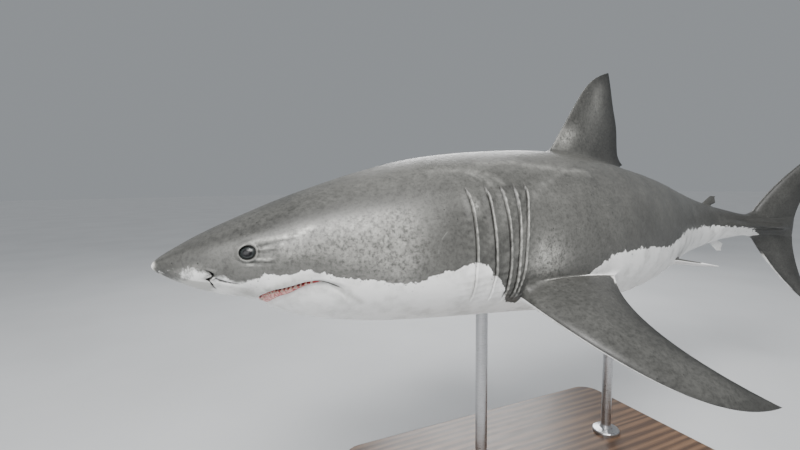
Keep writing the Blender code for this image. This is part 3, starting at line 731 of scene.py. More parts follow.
STREAKS = (
    # pale and dark wrinkles behind and below the eye
    Streak(((6.35, 64.5), (7.4, 64), (8.4, 64.5), (9.15, 64.5), (10.25, 60)), 0.17, pale=0.34, height=0.03),
    Streak(((6.75, 71), (7.4, 69), (8.05, 68), (9, 66.8)), 0.1, pale=-0.22, height=-0.035),
    Streak(((6.95, 74.5), (7.65, 73), (8.35, 72)), 0.1, pale=0.3, height=0.02),
    Streak(((6.8, 76.6), (7.25, 76.8), (7.85, 75.8)), 0.09, pale=-0.26, height=-0.035),
    Streak(((6.7, 85), (7.2, 85.5), (7.6, 84.5)), 0.1, pale=0.36, height=0.02),
    Streak(((6.25, 88), (6.95, 89), (7.7, 87.5)), 0.08, pale=-0.2, height=-0.03),
    Streak(((6.1, 90.6), (6.55, 91.5), (6.95, 91)), 0.08, pale=0.22, height=0.01),
    # fold from the nostril, tail of the nostril, a pale line above the fold and crease of the jaw: the dark lines are
    # painted shade in the creases, the pale line a painted highlight
    Streak(((4.05, 110.8), (4.35, 113.8), (4.8, 116.2), (5.4, 117), (6.2, 116.8)), 0.12, dark=1.0,
           height=-0.09, tail=0.6),
    Streak(((3.85, 126), (3.97, 135), (4.1, 148.5)), 0.085, dark=0.8, height=-0.1, tail=0.6),
    Streak(((4.7, 113.6), (5.2, 114.8), (5.8, 113.8)), 0.12, pale=0.3),
    Streak(((10.3, 101.4), (10.6, 101), (11.2, 102.2), (11.9, 105.2), (12.7, 110)), 0.075, dark=0.85,
           height=-0.1, tail=0.45),
    # long pale streaks that rise over the gills, and scratches behind them
    Streak(((20, 31), (22.3, 34), (23.3, 38), (24.05, 43), (24.55, 49)), 0.3, pale=0.13, height=-0.05),
    Streak(((23.4, 35), (24.55, 40.5), (25.3, 44), (25.6, 48)), 0.26, pale=0.13, height=-0.05),
    Streak(((24.6, 31), (25.95, 30), (28.15, 30.5), (30, 36), (32.35, 39.5), (35.5, 42)), 0.34, pale=0.14,
           height=0.03),
    Streak(((28, 57.5), (29.2, 51.5), (30.6, 46.5), (32, 43)), 0.22, pale=0.1),
)


@dataclass
class Gills:
    """Five gill slits on each side; a slit's station falls from its top to its low end as (1 - t)^2."""

    tops: tuple[float, ...] = (22.12, 23.8, 25.2, 26.45, 27.55)
    lows: tuple[float, ...] = (21.92, 23.52, 24.75, 25.42, 25.85)
    first: float = 52.0
    last: float = 121.0
    ends: tuple[float, ...] = (97.0, 101.0, 115.0, 119.0, 120.0)
    knots: tuple[float, ...] = (19.8, 21.9, 23.65, 24.9, 25.85, 26.6, 29.6)

    def stations(self, angle: Array) -> Array:
        """Stations of the five slits at an angle, with the slits as a new last axis."""
        t = unit((from_top(angle) - self.first) / (self.last - self.first))[..., None]
        tops, lows = np.array(self.tops), np.array(self.lows)
        wander = 0.03 * np.sin(9 * t + 2 * np.arange(5)) * t * (1 - t) * 4
        return lows + (tops - lows) * (1 - t) ** 2 + wander

    def warp(self, p: Array, angle: Array) -> Array:
        """Stations of the grid's rows, led so that rows run along the slits.

        Between 19.8 and 29.6 the row's nominal place is carried, piece by piece, onto the slits' stations.

        Args:
            p: Nominal stations of the rows.
            angle: Angles of the columns.

        Returns:
            Stations as rows by columns.
        """
        knots = np.array(self.knots)
        target = np.pad(self.stations(angle), ((0, 0), (1, 1)), constant_values=((0, 0), (knots[0], knots[-1])))
        i = np.clip(np.searchsorted(knots, p) - 1, 0, len(knots) - 2)
        share = ((p - knots[i]) / (knots[i + 1] - knots[i]))[:, None]
        warped = target[:, i].T * (1 - share) + target[:, i + 1].T * share
        inside = (p > knots[0]) & (p < knots[-1])
        return np.where(inside[:, None], warped, p[:, None])

    def span(self, angle: Array) -> Array:
        """1 along the slits and 0 beyond their ends."""
        return window(50.5, 56, 116, 121.5, from_top(angle))

    def relief(self, s: Array, angle: Array) -> Array:
        """Height of the skin: plates rise to their rear edges, drop into narrow clefts and start again sharply."""
        gap = s[..., None] - self.stations(angle)
        turn = from_top(angle)[..., None]
        strong = 1 - 0.72 * ease(-7, 1, turn - np.array(self.ends))
        strong = strong * (1 + 0.22 * np.sin(turn / 3.1 + 2 * np.arange(5)))
        cleft = -0.55 * bump(0, 0.05, gap)
        before = 0.09 * ease(-0.7, -0.12, gap) * (gap < 0.0)
        behind = 0.13 * ease(0.02, 0.11, gap) * np.exp(-np.clip(gap - 0.11, 0.0, 4) / 0.2)
        fold = 0.018 * np.sin(turn[..., 0] * 1.15 + 2.6 * s) * window(20.4, 21.2, 27.3, 28.2, s)
        return (((cleft + before + behind) * strong).sum(-1) + fold) * self.span(angle)

    def line(self, s: Array, angle: Array, behind: float, width: float) -> Array:
        """1 along a line that lies behind each slit, or in it, and 0 on the open skin."""
        return bump(behind, width, s[..., None] - self.stations(angle)).max(-1) * self.span(angle)


@dataclass
class Mouth:
    """The mouth: lines woven round the jaw like the rings of a horseshoe, from the cheek over the upper lip,
    through the cleft and over the lower lip to the middle of the jaw."""

    upper: Table = (
        (12.4, 106), (11.6, 103), (10.9, 101.1), (10.5, 101), (9.8, 102), (9.3, 104.5), (8.7, 108.5),
        (8.2, 112), (7.8, 115.5), (7.35, 123.5), (7, 133.5), (6.8, 145), (6.68, 160), (6.64, 180))
    lower: Table = (
        (12.2, 111), (11.4, 105), (10.86, 101.9), (10.5, 103), (10.05, 104.6), (9.7, 107), (9.3, 110.4),
        (8.85, 116), (8.3, 123.5), (8.05, 129.5), (7.85, 138), (7.7, 149), (7.6, 162), (7.56, 180))
    gum: Table = (
        (12.2, 111), (11.4, 105), (10.86, 101.9), (10.5, 102.8), (10.05, 104.2), (9.6, 106.9), (8.8, 112.6),
        (8.25, 117.6), (7.75, 123.6), (7.42, 131), (7.24, 142), (7.15, 160), (7.12, 180))
    lines: tuple[int, int] = (9, 19)  # which lines are the edges of the upper and the lower lip
    corner: int = 2  # place of the corner in both lists
    pocket: float = 1.15
    chin: float = 8.6  # station where the last line, along the jaw's middle, ends

    def jaw_share(self, s: Array) -> Array:
        """Width of the jaw over the body's: a rounded tip at 7.05 that widens as the power 0.42."""
        half = PLAN.sizes(s)[2]
        jaw = 6.5 * np.clip((s - 7.05) / 3.6, 1e-4, None) ** 0.42
        share = (1 + (half / jaw) ** 6) ** (-1 / 6)
        return share + (1 - share) * ease(10.4, 12.6, s)

    def outline(self, table: Table, rear: tuple[float, float], early: int, late: int) -> Array:
        """A lip's line, evenly divided before and after its corner.

        Args:
            table: Stations and angles in degrees, from the rear to the front.
            rear: Station and angle (radians) where the line starts.
            early: Steps from the rear to the corner.
            late: Steps from the corner to the front.

        Returns:
            Station and angle of early + late + 1 points.
        """
        line = np.array([(s, a * DEGREE) for s, a in table])
        line = join([[rear], line])
        steps = np.hypot(np.diff(line[:, 0]), 5 * np.diff(line[:, 1]))
        run = join([[0.0], np.cumsum(steps)])
        turn = run[self.corner + 1]
        want = join([np.linspace(0, turn, early + 1), np.linspace(turn, run[-1], late + 1)[1:]])
        return np.stack([smooth_curve(run, line[:, i], want) if i else np.interp(want, run, line[:, 0])
                         for i in (0, 1)], 1)

    def open_at(self, count: int, early: int) -> Array:
        """How open the mouth is along a line: nothing at the corner, full a third of the way on."""
        t = unit((np.arange(count) - early) / (count - 1 - early))
        return unit(1 - (1 - t) ** 2.4)


@dataclass
class Opening:
    """A gap in the body's grid that an eye's socket or a nostril fills."""

    weave: Weave
    loop: Array  # point numbers round the gap
    side: int  # 1 for the left, -1 for the right
    centre: tuple[float, float]  # station and angle in degrees
    arc: float  # radius that turns an angle into an arc's length

    def chart(self) -> Array:
        """The loop in a flat chart round the centre: stations, and angles turned into arcs."""
        marks = self.weave.state(self.loop)[1]
        turn = marks[:, 1] if self.side > 0 else TURN - marks[:, 1]
        return np.stack([marks[:, 0] - self.centre[0], self.arc * (turn - self.centre[1] * DEGREE)], 1)

    def unroll(self, chart: Array) -> Array:
        """Stations and angles of points in the chart."""
        return chart / (1, self.arc) + (self.centre[0], self.centre[1] * DEGREE)

    def sink(self, rings: Array, grow: Array, inner: Array, floor: float) -> None:
        """Weave rings to the gap and close them with a fan at the floor.

        Args:
            rings: Stations and angles of the rings.
            grow: How far they stand out of the skin.
            inner: How deep they are marked.
            floor: How far the floor's middle stands out.
        """
        s, a = rings[..., 0], rings[..., 1]
        turn = a if self.side > 0 else TURN - a
        number = self.weave.add(PLAN.skin(s, self.side * a, grow), s, turn, inner=inner)
        self.weave.sheet(join([self.loop[None], number]), closed=True)
        s, a = self.centre[0], self.centre[1] * DEGREE
        middle = PLAN.skin(np.array([s]), np.array([self.side * a]), floor)
        self.weave.fan(number[-1], self.weave.add(middle, s, a, inner=inner.max()))


@dataclass
class Skin:
    """The whole skin of the fish as one closed mesh."""

    half_columns: int = 90
    gills: Gills = field(default_factory=Gills)
    mouth: Mouth = field(default_factory=Mouth)
    fins: list[Fin] = field(default_factory=list)
    nostril: tuple[float, float] = (3.66, 113.0)
    nostril_arc: float = 2.25
    nostril_bends: Table = (
        (-1, -0.26), (-0.86, 0.02), (-0.66, 0.2), (-0.4, 0.24), (-0.12, 0.06), (0.08, -0.1), (0.26, 0.02),
        (0.55, 0.16), (1, 0.22))
    lips: Array = field(default_factory=lambda: np.zeros((2, 1, 3)))
    open_now: Array = field(default_factory=lambda: np.zeros(1))

    def columns(self) -> Array:
        """Angles of the columns, closest at the mouth and the gills, the right side mirroring the left."""
        fine = np.linspace(0, 180, 721)
        spacing = 3.3 - 1.2 * ease(45, 62, fine) - 0.55 * ease(80, 92, fine)
        left = spread(0.0, 180.0, spacing, fine)
        share = np.linspace(0, len(left) - 1, self.half_columns + 1)
        left = np.interp(share, np.arange(len(left)), left) * DEGREE
        return join([left, TURN - left[-2:0:-1]])

    def rows(self) -> Array:
        """Nominal stations of the rows, closest at the snout, the eyes, the mouth and the gill slits."""
        fine = np.linspace(0.04, PLAN.end, 8857)
        spacing = 0.05 + 0.17 * ease(0, 2.5, fine) - 0.06 * ease(4, 5, fine) + 0.14 * ease(12, 15, fine)
        spacing = spacing + 0.2 * ease(27, 34, fine) - 0.3 * ease(82, 88.6, fine)
        gap = np.abs(fine[:, None] - np.array(self.gills.knots[1:-1])).min(1)
        spacing = np.where(np.abs(fine - 24.3) < 5.0, np.minimum(spacing, 0.036 + 0.28 * gap), spacing)
        return spread(0.04, PLAN.end, spacing, fine)

    def relief(self, s: Array, angle: Array) -> Array:
        """Height of the skin over the plain section: gills, brow, cheek, streaks and a wave along the flank.

        Args:
            s: Stations.
            angle: Angles.

        Returns:
            Heights in percent.
        """
        turn = from_top(angle)
        grow = self.gills.relief(s, angle)
        grow = grow + 0.13 * bump(6.3, 1.3, s) * bump(58, 8, turn)
        grow = grow + 0.1 * bump(9.5, 2.2, s) * bump(84, 12, turn)
        for streak in STREAKS:
            grow = grow + streak.height * streak.weight(s, turn)
        wave = np.sin(1.9 * s + 2 * np.sin(turn / 9))
        return grow + 0.025 * wave * ease(8, 30, turn) * window(29, 36, 60, 72, s)

    def around(self, number: Array, first: int, last: int, middle: int, reach: int) -> Array:
        """Point numbers round a gap in the grid, from the middle of its front side towards smaller angles.

        Args:
            number: Point numbers of the grid.
            first: First row.
            last: Last row.
            middle: Middle column.
            reach: Columns to each side.

        Returns:
            The closed loop of point numbers.
        """
        rows, cols = np.arange(first, last + 1), np.arange(-reach, reach + 1) + middle
        i = join([np.full(reach + 1, first), rows[1:], np.full(2 * reach, last), rows[-2::-1],
                            np.full(reach - 1, first)])
        j = join([cols[reach::-1], np.full(len(rows) - 1, cols[0]), cols[1:],
                            np.full(len(rows) - 1, cols[-1]), cols[-2:reach:-1]])
        return number[i, j % number.shape[1]]

    def build(self) -> tuple[Mesh, Array]:
        """Weave the whole skin.

        Returns:
            The mesh and the marks of its points.
        """
        weave = Weave()
        angle, p = self.columns(), self.rows()
        count, bottom = len(angle), self.half_columns
        s = self.gills.warp(p, angle)
        turn = np.broadcast_to(angle, s.shape)
        number = weave.add(PLAN.skin(s, turn, self.relief(s, turn)), s, turn)
        weave.fan(number[0], weave.add(PLAN.bend(np.array([[-0.005, 0.0, 0.0]]))))
        keep = np.ones((len(p) - 1, count), bool)

        def row(station: float) -> int:
            """The row nearest a nominal station."""
            return int(np.argmin(np.abs(p - station)))

        def leave(first: int, last: int, middle: int, reach: int) -> Array:
            """Leave the faces of a gap out of the grid and return the loop round it."""
            keep[first:last, (np.arange(-reach, reach) + middle) % count] = False
            return self.around(number, first, last, middle, reach)

        for side in (1, -1):
            for build, centre, arc, spans in (
                    (self.eye_rings, EYE, EYE_ARC, (4.95, 7.2, 14.8)),
                    (self.nostril_rings, self.nostril, self.nostril_arc, (2.85, 4.6, 24.0))):
                middle = int(np.argmin(np.abs(angle - centre[1] * DEGREE)))
                reach = int(round(np.sum(np.abs(angle[:bottom] / DEGREE - centre[1]) < spans[2]) / 2))
                cells = row(spans[0]), row(spans[1]), middle if side > 0 else count - middle, reach
                build(Opening(weave, leave(*cells), side, centre, arc))
        for fin in self.fins:
            middle = int(np.argmin(np.abs(angle - fin.middle * DEGREE)))
            spans = np.abs((angle / DEGREE - fin.middle + 180) % 360 - 180)
            reach = max(int(np.sum(spans < fin.reach) // 2), 2)
            first, last = row(fin.gap[0]), len(p) - 1 if fin.open_rear else row(fin.gap[1])
            loop = leave(first, last, middle, reach)
            if fin.open_rear:
                start = reach + last - first
                loop = join([loop[start::-1], loop[:start + 2 * reach - 1:-1]])
            self.fin_rings(weave, fin, loop)
            if fin.open_rear and fin.side > 0:
                top_reach = reach
            elif fin.open_rear:
                between = np.arange(top_reach, bottom - reach + 1)
                weave.sheet(np.stack([number[-1, between], number[-1, count - between]], 1))
        self.mouth_rings(weave, number, keep, row(5.45), row(12.9), int(np.argmin(np.abs(angle - 93 * DEGREE))))
        weave.sheet(number, closed=True, keep=keep)
        return weave.mesh("shark_skin")

    def eye_rings(self, gap: Opening) -> None:
        """Rings from the gap to the eye's opening, over its raised rim and down behind the ball.

        Args:
            gap: The gap.
        """
        outer = gap.chart()
        opening = np.array(EYE_OPENING)
        bearing = np.arctan2(outer[:, 1] / opening[1], outer[:, 0] / opening[0])
        rim = opening * np.stack([np.cos(bearing), np.sin(bearing)], 1)
        share = (1 - (1 - np.linspace(0, 1, 10)[1:]) ** 1.5)[:, None, None]
        inside = rim * np.array([0.965, 0.93, 0.89, 0.82, 0.7])[:, None, None]
        both = join([outer + (rim - outer) * share, inside])
        rings = gap.unroll(both)
        distance = np.linalg.norm(both, axis=-1) - np.linalg.norm(rim, axis=-1)
        deep = np.zeros((len(both), 1))
        deep[-5:, 0] = (0.03, 0.1, 0.19, 0.36, 0.6)
        grow = self.relief(rings[..., 0], rings[..., 1]) * ease(-0.02, 0.25, distance)
        grow = grow + 0.06 * bump(0.075, 0.1, distance) - 0.05 * bump(0.3, 0.09, distance) - deep
        gap.sink(rings, grow, unit(deep / 0.08) * 2, -0.72)

    def nostril_rings(self, gap: Opening) -> None:
        """Rings from the gap to an S-shaped slit with a raised flap behind it, and down into it.

        Args:
            gap: The gap.
        """
        outer = gap.chart()
        across, down = np.abs(outer).max(0)
        bearing = np.arctan2(outer[:, 0] / across, -outer[:, 1] / down)
        along = -np.cos(bearing)
        bends = np.array(self.nostril_bends)
        middle = np.stack([smooth_curve(bends[:, 0], bends[:, 1], along), 0.66 * along], 1)
        swell = 0.8 + 0.9 * bump(0.05, 0.28, along) + 0.5 * bump(0.7, 0.25, along) + 1 * bump(-0.75, 0.25, along)
        edge, *walls = (middle + np.stack([width * np.sin(bearing) * swell, 0 * along], 1)
                        for width in (0.085, 0.072, 0.055, 0.035))
        share = np.linspace(0, 1, 9)[1:, None, None] ** 0.8
        both = join([outer + (edge - outer) * share, walls])
        rings = gap.unroll(both)
        deep = np.zeros((len(both), 1))
        deep[-3:, 0] = (0.07, 0.2, 0.36)
        behind = both[..., 0] - middle[:, 0]
        flap = 0.1 * bump(0.16, 0.11, behind) - 0.05 * bump(-0.22, 0.12, behind)
        grow = self.relief(rings[..., 0], rings[..., 1]) + flap * fade(0.75, 1, np.abs(both[..., 1]) / 0.75) - deep
        gap.sink(rings, grow, unit(deep / 0.07), -0.42)

    def fin_rings(self, weave: Weave, fin: Fin, loop: Array) -> None:
        """Rings from the gap up the fin, the last one folded shut.

        The root is a curve with three control rings: the gap's edge, the line where the fin meets the body,
        and the fin a little further out. Beyond it the rings are the fin's own sections.

        Args:
            weave: The weave.
            fin: The fin.
            loop: Point numbers round the gap, closed, or open at the rear.
        """
        edge, marks = weave.state(loop)
        size = len(loop)
        steps = np.linalg.norm(np.diff(join([edge, edge[:1]]), axis=0), axis=1)
        run = join([[0.0], np.cumsum(steps)])
        if fin.open_rear:
            signed = run[:size] - run[size // 2]
            share = np.where(signed >= 0, signed / signed[-1], -signed / signed[0])
        else:
            lead, trail = fin.flank(np.zeros(2), np.array([1e-4, 1.0]))
            turn = int(np.argmin(np.linalg.norm(edge - lead, axis=1)))
            loop, edge, marks = (np.roll(each, -turn, axis=0) for each in (loop, edge, marks))
            run = join([[0.0], np.cumsum(np.roll(steps, -turn))])
            half = int(np.argmin(np.linalg.norm(edge - trail, axis=1)))
            signed = np.where(np.arange(size) <= half, run[:size], -(run[-1] - run[:size]))
            share = np.where(signed >= 0, signed / run[half], -signed / (run[-1] - run[half]))
            share[half] = 1.0
        chord = np.sign(signed) * (1 - np.cos(math.pi * unit(np.abs(share)))) / 2
        probe = fin.flank(np.zeros(2), np.array([0.3, -0.3]))
        flanks = [edge[np.argmin(np.abs(share - 0.5) + 9 * (np.sign(signed) != sign))] for sign in (1, -1)]
        if np.dot(probe[0] - probe[1], flanks[0] - flanks[1]) < 0:
            chord = -chord
        look = np.linspace(*fin.search, 121)
        share_out, _, _ = PLAN.depth(PLAN.unbend(fin.flank(*np.broadcast_arrays(look[None, :], chord[:, None]))))
        inside = share_out < 1.0
        last = np.where(inside.any(1), inside.shape[1] - 1 - np.argmax(inside[:, ::-1], axis=1), 0)
        last = np.clip(last, 0, len(look) - 2)
        rows = np.arange(size)
        low, high = share_out[rows, last], share_out[rows, last + 1]
        start = look[last] + (look[1] - look[0]) * unit((1 - low) / np.maximum(high - low, 1e-6))
        foot = fin.flank(start, chord)
        _, foot_s, foot_angle = PLAN.depth(PLAN.unbend(foot))
        foot_angle = marks[:, 1] + (foot_angle - marks[:, 1] + math.pi) % (TURN) - math.pi
        t = np.linspace(0, 1, fin.rings)
        t = fin.fillet + (1 - fin.fillet) * (0.35 * t + 0.65 * np.sin(t * math.pi / 2))
        span = start + (1 - start) * t[:, None]
        body = fin.flank(*np.broadcast_arrays(span, chord))
        lift = np.linspace(0, 1, 8)[1:-1, None, None]
        root = (1 - lift) ** 2 * edge + 2 * lift * (1 - lift) * foot + lift**2 * body[0]
        lift = lift[..., 0]
        lift = np.broadcast_to(lift, (len(lift), size))
        s, a = (join([mark + (end - mark) * lift, np.broadcast_to(end, span.shape)])
                for mark, end in ((marks[:, 0], foot_s), (marks[:, 1], foot_angle)))
        weight = join([lift, np.ones_like(span)])
        spans = join([0 * lift, unit(span)])
        number = weave.add(join([root, body]), s, a, fin.kind, spans, chord, -weight)
        weave.sheet(join([loop[None], number]), closed=True)
        weave.fold(number[-1], closed=not fin.open_rear)

    def mouth_rings(self, weave: Weave, number: Array, keep: Array, first: int, last: int, column: int) -> None:
        """Horseshoe lines from the gap's edge over both lips to the middle of the jaw.

        Between the lips they sink into a pocket as deep as the half sine of their place, and beyond the
        lower lip they lie on the jaw, whose sections are narrower than the body's.

        Args:
            weave: The weave.
            number: Point numbers of the body's grid.
            keep: Mask of the grid's faces, in which the gap is left out.
            first: First row of the gap.
            last: Last row.
            column: Its column on the left; the right one mirrors it.
        """
        count, bottom = number.shape[1], self.half_columns
        keep[first:last, column:count - column] = False
        lines, across = bottom - column, last - first
        half = across + lines
        left = join([number[last:first - 1:-1, column], number[first, column + 1:bottom + 1]])
        right = join([number[last:first - 1:-1, count - column],
                                number[first, count - column - 1:bottom - 1:-1]])
        outer = weave.state(left)[1][:, :2]
        upper_line, lower_line = self.mouth.lines
        early = int(round(half * 0.2))
        rear = weave.state(number[last, column:bottom + 1])[1][:, :2]
        upper, lower, gum = (self.mouth.outline(table, tuple(rear[line]), early, half - early) for table, line in (
            (self.mouth.upper, upper_line), (self.mouth.lower, lower_line), (self.mouth.gum, lower_line)))
        m = np.linspace(0, 1, half + 1)
        middle = np.stack([rear[0, 0] + (self.mouth.chin - rear[0, 0]) * m, np.full(half + 1, math.pi)], 1)
        open_now = self.mouth.open_at(half + 1, early)
        k = np.arange(lines + 1)[:, None]
        cheek = unit(k / upper_line)
        cheek = 1 - (1 - cheek) ** (1 + 0.5 * ease(0, 0.2, m))
        gap = unit((k - upper_line) / (lower_line - upper_line))
        jaw = unit((k - lower_line) / (lines - lower_line))
        jaw = jaw ** (1 + 0.4 * ease(0, 0.2, m))
        flat = np.where(k[..., None] <= upper_line, outer + (upper - outer) * cheek[..., None],
                        lower + (middle - lower) * jaw[..., None])
        s, a = flat[..., 0], flat[..., 1]
        from_lip = flat - np.where(k[..., None] <= upper_line, upper, lower)
        from_lip = np.hypot(from_lip[..., 0], 5 * from_lip[..., 1])
        lip = open_now * (0.1 * bump(0.3, 0.22, from_lip) - 0.07 * bump(0, 0.1, from_lip))
        crease = -0.1 * bump(0, 0.16, from_lip) * fade(0, 0.35, open_now) * ease(0, 0.1, m)
        swell = 0.16 * bump(9.6, 1.7, s) * bump(124 * DEGREE, 17 * DEGREE, a) * (k >= lower_line)
        grow = self.relief(s, a) * ease(0, 0.4, from_lip) + lip + crease + swell
        y, z = PLAN.section(s, a, grow)
        y = y * np.where(k >= lower_line, self.mouth.jaw_share(s), 1.0)
        place = np.stack([s, y, z], -1)
        top, low = place[upper_line], place[lower_line]
        between = top + (low - top) * gap[..., None]
        focus = THROAT - between
        focus[..., 2] = 0.0
        focus = focus / np.maximum(np.linalg.norm(focus, axis=-1, keepdims=True), 1e-6)
        sink = np.sin(math.pi * gap) ** 0.6 * open_now * self.mouth.pocket
        rise = 0.35 * np.sin(TURN * gap) * open_now
        between = between + focus * sink[..., None] + UP * rise[..., None]
        inside = ((k > upper_line) & (k < lower_line))[..., None]
        place = np.where(inside, between, place)
        place[0] = 0.0
        s = np.where(inside[..., 0], between[..., 0], s)
        a = np.where(inside[..., 0], upper[:, 1] + (lower[:, 1] - upper[:, 1]) * gap, a)
        depth = np.where(inside[..., 0] & (open_now > 0.01), 2.01 + unit(sink / 0.5), 0.0)
        gum_y, gum_z = PLAN.section(gum[:, 0], gum[:, 1])
        self.lips = np.stack([low, np.stack([gum[:, 0], gum_y * self.mouth.jaw_share(gum[:, 0]), gum_z], 1)])
        self.open_now = open_now

        def side_points(mirror: Values, turn: Array, rows: slice, cols: slice) -> Array:
            """Add the points of one side."""
            spot = PLAN.bend(place[rows, cols] * mirror)
            return weave.add(spot, s[rows, cols], turn[rows, cols], inner=depth[rows, cols])

        table = np.zeros((lines + 1, 2 * half + 1), int)
        table[0] = join([left, right[-2::-1]])
        table[:, 0] = number[last, column:bottom + 1]
        table[:, -1] = number[last, count - column:bottom - 1:-1]
        table[1:, 1:half + 1] = side_points(1.0, a, slice(1, None), slice(1, None))
        table[1:-1, half + 1:-1] = side_points(MIRROR, TURN - a, slice(1, -1), slice(1, -1))[:, ::-1]
        table[-1, half + 1:-1] = table[-1, half - 1:0:-1]
        weave.sheet(table)


# ---- markings ----
@dataclass(frozen=True)
class Markings:
    """Where the fish is dark, pale, red or cleft, worked out at each point of the skin from its marks."""

    # station and angle of the border between the grey back and the white belly
    border: Table = (
        (0, 150), (1, 148), (1.6, 128), (2.05, 108), (2.5, 100), (3.1, 97.5), (3.5, 101),
        (3.9, 107), (4.6, 110), (5.4, 113.6), (6.35, 110), (7.3, 100), (8.25, 96.5), (9.2, 95),
        (10, 93.5), (11, 95), (11.7, 97.5), (13.25, 97), (14.5, 99), (16, 100), (16.9, 101),
        (18, 98.5), (19, 94.5), (20.8, 90.5), (21.2, 89), (22.5, 89.5), (23.2, 94.5), (24.3, 103),
        (24.8, 114), (25.3, 123), (26.4, 128), (28, 125), (31.5, 125), (33.3, 106), (34.1, 99.5),
        (35, 95), (36.9, 91.5), (39.9, 92), (42.6, 92.5), (46, 95.5), (48.9, 96.5), (51.5, 93.5),
        (55, 90.5), (61, 91.5), (70, 93), (76, 96.5), (79.5, 104), (81.5, 128), (83, 160),
        (84.5, 185))
    # patches of tone: strength, station and its width, angle and its width
    patches: Table = (
        (0.16, 2.9, 0.9, 92, 9), (-0.05, 20.3, 1.3, 76, 14), (0.36, 28.3, 2, 90, 10.5),
        (0.28, 22.5, 0.32, 61, 6))

    def edge(self, s: Array, turn: Array) -> Array:
        """Distance from the body's border, positive on the grey side, and less where the snout is mottled."""
        table = np.array(self.border)
        line = smooth_curve(table[:, 0], table[:, 1], s)
        slope = (smooth_curve(table[:, 0], table[:, 1], s + 0.1) - line) / 0.1 * DEGREE
        around = np.maximum(PLAN.sizes(s)[2], 0.4)
        edge = (line - turn) * DEGREE * around / np.sqrt(1 + (slope * around) ** 2)
        return edge * (1 - 0.6 * fade(2.3, 3.6, s) * ease(78, 98, turn))

    def tone(self, s: Array, turn: Array, edge: Array) -> Array:
        """Lightness of the grey: lowest along the back, highest on the cheek, falling toward the tail.

        Args:
            s: Stations.
            turn: Angles from the top, in degrees.
            edge: Distance from the border.

        Returns:
            The tone, about 0 to 1.
        """
        snout, rear = fade(9, 17, s), ease(30, 44, s)
        below = ease(-6, 7, turn - 61 + 5.5 * ease(7, 10, s))
        tone = 0.33 - 0.09 * snout - 0.05 * rear - 0.06 * bump(46, 8, turn) * (1 - rear)
        tone = tone + 0.12 * below * window(3, 4.5, 7, 8.5, s)
        tone = tone + 0.3 * below * window(6.8, 8.8, 15.5, 19.5, s) * (1 - 0.55 * bump(0.2, 0.9, edge))
        tone = tone + 0.2 * bump(2.1, 0.9, s) * ease(88, 104, turn) - 0.12 * ease(62, 84, s)
        for strength, station, length, angle, width in self.patches:
            tone = tone + strength * bump(station, length, s) * bump(angle, width, turn)
        # the plates between the gill slits are darker and uneven, and a ladder of dark rungs leads up to them
        plates = window(22, 22.6, 27.2, 27.9, s) * ease(50, 56, turn)
        knots = np.sin(turn * 1.9 + 3 * s) * np.sin(turn * 0.83 - 5.1 * s)
        ladder = (0.5 + 0.5 * np.cos(turn * TURN / 4.3 + 1.2 * np.sin(2.2 * s))) ** 4
        ladder = ladder * bump(21.2, 0.45, s) * window(58, 64, 84, 88, turn)
        return tone - (0.05 + 0.09 * knots) * plates - 0.16 * ladder

    def shade_and_dusting(self, s: Array, turn: Array) -> Array:
        """Grey on the white: painted shade and grey dusting under the snout, painted shade in the nostril's bend, over
        the lip and along the jaw.
        """
        shade_and_dusting = 0.85 * fade(3.5, 4.3, s) * window(118, 127, 148, 166, turn)
        shade_and_dusting = np.maximum(shade_and_dusting, 0.4 * bump(5.9, 1.3, s) * window(119, 127, 150, 170, turn))
        shade_and_dusting = np.maximum(shade_and_dusting, 0.6 * bump(3.55, 0.25, s) * bump(112.5, 6, turn))
        over = np.array(Mouth().upper[3:])
        lip = np.interp(s, over[::-1, 0], over[::-1, 1])
        shadows = ((Streak(tuple((a, b - 4.5) for a, b in Mouth().upper[3:10]), 0.34), 0.6),
                   (Streak(((10.5, 101.0), (11.2, 102.4), (12.4, 109.0), (13.5, 118.0)), 0.3), 0.4))
        for streak, depth in shadows:
            shade_and_dusting = np.maximum(shade_and_dusting, depth * streak.weight(s, turn) * ((turn < lip + 0.5) | (s > 10.5)))
        return shade_and_dusting

    def body(self, s: Array, angle: Array) -> dict[str, Array]:
        """Markings of the body at stations and angles.

        Args:
            s: Stations.
            angle: Angles.

        Returns:
            Arrays named border, tone, pale, cleft, shade_and_dusting and snout.
        """
        turn = from_top(angle)
        gills, edge = Gills(), self.edge(s, turn)
        # the pale line behind each slit is a painted highlight on the front edge of the plate behind it
        pale = gills.line(s, angle, 0.14, 0.055) * (0.38 + 0.16 * np.sin(turn * 1.3 + 4 * s))
        pale = pale + 1.3 * bump(0, 0.22, s)
        # painted shade in the gill slits, weaker on the white, and two dark lines along the slits' upper ends
        cleft = gills.line(s, angle, 0.0, 0.068) * (1 - 0.62 * ease(0.3, -0.5, edge))
        cleft = np.maximum(cleft, 0.42 * bump(22, 0.22, s - 0.2 * np.sin(turn)) * bump(51, 2.2, turn))
        cleft = np.maximum(cleft, 0.46 * bump(51.5, 2.5, turn) * window(23.5, 24.5, 27.4, 27.9, s))
        for streak in STREAKS:
            weight = streak.weight(s, turn)
            pale, cleft = pale + streak.pale * weight, np.maximum(cleft, streak.dark * weight)
        ring = np.hypot((s - EYE[0]) / EYE_OPENING[0], (turn - EYE[1]) * DEGREE * EYE_ARC / EYE_OPENING[1])
        pale = pale + (0.16 + 0.1 * np.cos(turn * 0.2)) * bump(1.13, 0.08, ring) * (ring > 1.0)
        return {"border": edge, "tone": self.tone(s, turn, edge), "pale": pale, "cleft": cleft,
                "shade_and_dusting": self.shade_and_dusting(s, turn), "snout": window(0.15, 0.6, 4.5, 7.5, s)}

